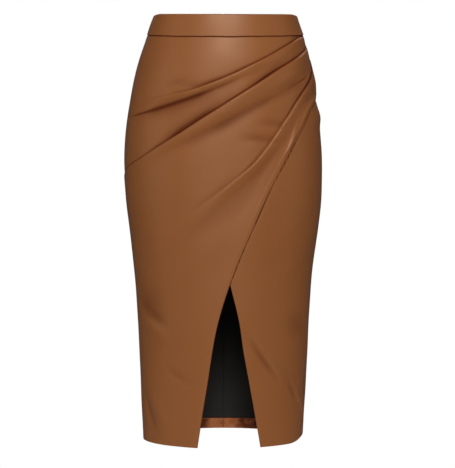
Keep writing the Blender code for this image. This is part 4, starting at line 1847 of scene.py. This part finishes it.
@dataclass(frozen=True)
class Waistband:
    """One stretch of the folded, interfaced band, between two angles. Sizes in mm."""

    name: str
    start: float
    end: float
    start_gap: float
    end_gap: float
    columns: int = 90
    rows: int = 26
    proud: float = 1.0  # of the skin
    thick: float = 2.5
    puff: float = 0.35  # of its middle
    lean_left: float = 2.8  # inwards, of its top at the side seams
    lean_right: float = 2.4
    sag: float = 3.2  # of its top at the side seams
    tilt: float = 0.7  # by which its top hangs lower on the right
    crown: float = 0.7  # by which its top stands higher all round
    side_run: float = 26.0  # degrees from a side seam over which its top changes

    def cloth(self) -> Cloth:
        """Shape the stretch.

        Returns:
            The stretch.
        """
        drop = level_rows(-BAND_HEIGHT, 0.0, self.rows)
        way = math.copysign(1, self.end - self.start)
        near = SKIN.moved_round(self.start, drop, way * self.start_gap)
        far = SKIN.moved_round(self.end, drop, -way * self.end_gap)
        angle = SKIN.spread(near, far, drop, self.columns)
        drop = np.broadcast_to(drop, angle.shape)
        puff = self.puff * np.sin(np.pi * (drop + BAND_HEIGHT) / BAND_HEIGHT)
        up = (-drop / BAND_HEIGHT) ** 1.5
        up_right = 1 - (1 - np.clip(-drop / BAND_HEIGHT, 0, 1)) ** 2.2
        to_side = 1 - np.abs(np.abs(angle) - 90) / self.side_run
        lean = ease(to_side + 0.4) * np.where(angle < 0, up * self.lean_left, up_right * self.lean_right)
        out = self.proud - 0.2 + puff + relief((), angle, drop) * 0.6 - lean
        tilt = self.tilt * (1 + np.sin(np.radians(angle))) / 2
        sag = (self.sag * ease(to_side) + tilt - self.crown) * up + waist_sag(angle) * ease(1 + drop / 30)
        panel = Cloth(self.name, angle, drop + sag, out, self.proud - self.thick - lean)
        panel.finish_edge(drop + BAND_HEIGHT, Edge.FOLDED, self.thick)
        panel.finish_edge(-drop, Edge.FOLDED, 1.8)
        # painted shade along the waist seam
        panel.darken(0.9 * bell(drop, 0.9))
        panel.finish_edge(SKIN.apart(angle, near, drop), Edge.SEWN)
        panel.finish_edge(SKIN.apart(angle, far, drop), Edge.SEWN)
        return panel


# ---------------------------------------------------------------- studio
@dataclass(frozen=True)
class Softbox:
    """A rectangular light, placed round the skirt's middle, in degrees, metres and watts."""

    name: str
    azimuth: float
    elevation: float
    distance: float
    width: float
    height: float
    power: float
    aim: tuple = (0.0, 0.0, -0.3)

    def build(self, colour: tuple) -> None:
        """Hang the light and point it at the skirt.

        Args:
            colour: Red, green and blue of the light.
        """
        data = bpy.data.lights.new(self.name, "AREA")
        data.color = colour
        data.shape = "RECTANGLE"
        data.size, data.size_y = self.width, self.height
        data.energy = self.power
        lamp = placed(self.name, data)
        turn, rise = math.radians(self.azimuth), math.radians(self.elevation)
        away = Vector((math.sin(turn) * math.cos(rise), -math.cos(turn) * math.cos(rise), math.sin(rise)))
        lamp.location = Vector(self.aim) + away * self.distance
        lamp.rotation_euler = away.to_track_quat("Z", "Y").to_euler()


@dataclass(frozen=True)
class Studio:
    """Pale round floor, white surroundings, soft lights and the camera, in metres."""

    floor: float = -1.04
    floor_radius: float = 1.25
    air: float = 0.07  # brightness of the surroundings on the cloth
    lights: tuple = (
        Softbox("key", 2, 38, 3.0, 1.4, 0.8, 51),
        Softbox("front_fill", 0, 5, 4.6, 4.8, 2.4, 52),
        Softbox("left_fill", -62, 8, 4.2, 2.6, 2.6, 18),
        Softbox("right_fill", 66, 8, 4.2, 2.6, 2.6, 11),
        Softbox("back", 180, 40, 4.5, 4.4, 3.6, 150),
    )
    warmth: tuple = (1.0, 0.96, 0.91)
    camera_place: tuple = (0.0078, -4.0, 0.026)
    pitch: float = 5.55  # degrees downwards
    lens: float = 177.7  # mm

    def paper(self) -> None:
        """Lay the round paper floor."""
        sides = 96
        turn = np.arange(sides) * 2 * math.pi / sides
        ring = np.stack([np.sin(turn), -np.cos(turn), 0 * turn], axis=-1) * self.floor_radius
        points = np.concatenate([ring, [[0.0, 0.0, 0.0]]]) + [0, 0, self.floor]
        faces = [(k, (k + 1) % sides, sides) for k in range(sides)]
        mesh = bpy.data.meshes.new("studio_floor")
        mesh.from_pydata(points.tolist(), [], faces)
        mesh.materials.append(PalePaper().build())
        made = placed("studio_floor", mesh)

    def surround(self) -> None:
        """Make the air white to look at, and only faintly bright on the cloth."""
        world = bpy.data.worlds.new("studio_air")
        world.use_nodes = True
        tree = world.node_tree
        tree.nodes.remove(tree.nodes["Background"])
        air = Wiring(tree)
        white = (1.0, 1.0, 1.0, 1.0)
        lit, seen = (
            air.node("ShaderNodeBackground", values={"Color": white, "Strength": strength})
            for strength in (self.air, 1.0)
        )
        looked_at = air.node("ShaderNodeLightPath", out="Is Camera Ray")
        either = air.node("ShaderNodeMixShader", values={0: looked_at, 1: lit, 2: seen})
        air.feed(tree.nodes["World Output"].inputs[0], either)
        bpy.context.scene.world = world

    def build(self) -> None:
        """Set the stage, the lights and the camera."""
        self.paper()
        self.surround()
        for light in self.lights:
            light.build(self.warmth)
        data = bpy.data.cameras.new("camera")
        data.lens = self.lens
        data.sensor_width = 36.0
        data.clip_end = 50.0
        camera = placed("camera", data)
        camera.location = self.camera_place
        camera.rotation_euler = (math.radians(90 - self.pitch), 0, 0)
        bpy.context.scene.camera = camera
        bpy.context.scene.view_settings.view_transform = "Standard"


def main() -> None:
    """Build the skirt and the studio."""
    logging.basicConfig(level=logging.INFO, format="%(name)s: %(message)s")
    leather = FauxLeather("brown_faux_leather").build()
    # The turned-up hem is the same leather, made lighter as a painted highlight, with its own painted shade
    # colour.
    turned = FauxLeather(
        "turned_hem_lit_leather",
        colour=srgb(196, 116, 66),
        deep=srgb(96, 34, 2),
        roughness=0.3,
        mottle=1.2,
        mottle_size=0.012,
    ).build()
    backing = BackingKnit().build()
    lining = LiningCloth().build()
    tape = WovenTape("brown_zip_tape").build()
    wrap = WrapFront()
    dress(wrap.cloth(), "front_wrap", (leather, backing))
    dress(UnderFront(wrap).cloth(), "front_under", (leather, backing))
    for side in Side:
        panel = BackPanel(side, wrap)
        dress(panel.cloth(), f"back_{side.word}", (leather, backing))
        dress(panel.lining(), f"lining_back_{side.word}", (lining, lining))
        dress(panel.hem_turn(), f"hem_facing_back_{side.word}", (turned, turned))
        dress(panel.tape(), f"zip_tape_{side.word}", (tape, tape))
    seam, zip_half = SEWN_GAP / 2, ZIP_GAP / 2
    bands = (
        (Waistband("band_front_cloth", -90, 90, seam, seam, 150), "waistband_front"),
        (Waistband("band_back_left_cloth", -90, -180, seam, zip_half), "waistband_back_left"),
        (Waistband("band_back_right_cloth", 90, 180, seam, zip_half), "waistband_back_right"),
    )
    for band, node in bands:
        dress(band.cloth(), node, (leather, leather))
    metal = PlatedMetal().build()
    soften("zip_slider", "skirt", metal, 0.25)
    soften("zip_pull", "pull", metal, 0.22)
    thread = Thread("brown_thread").build()
    nylon = Thread("brown_nylon", srgb(70, 42, 26), 0.35).build()
    black = Thread("black_thread", srgb(20, 20, 20)).build()
    Sewing().build(thread, nylon, black)
    Studio().build()


if __name__ == "__main__":
    main()
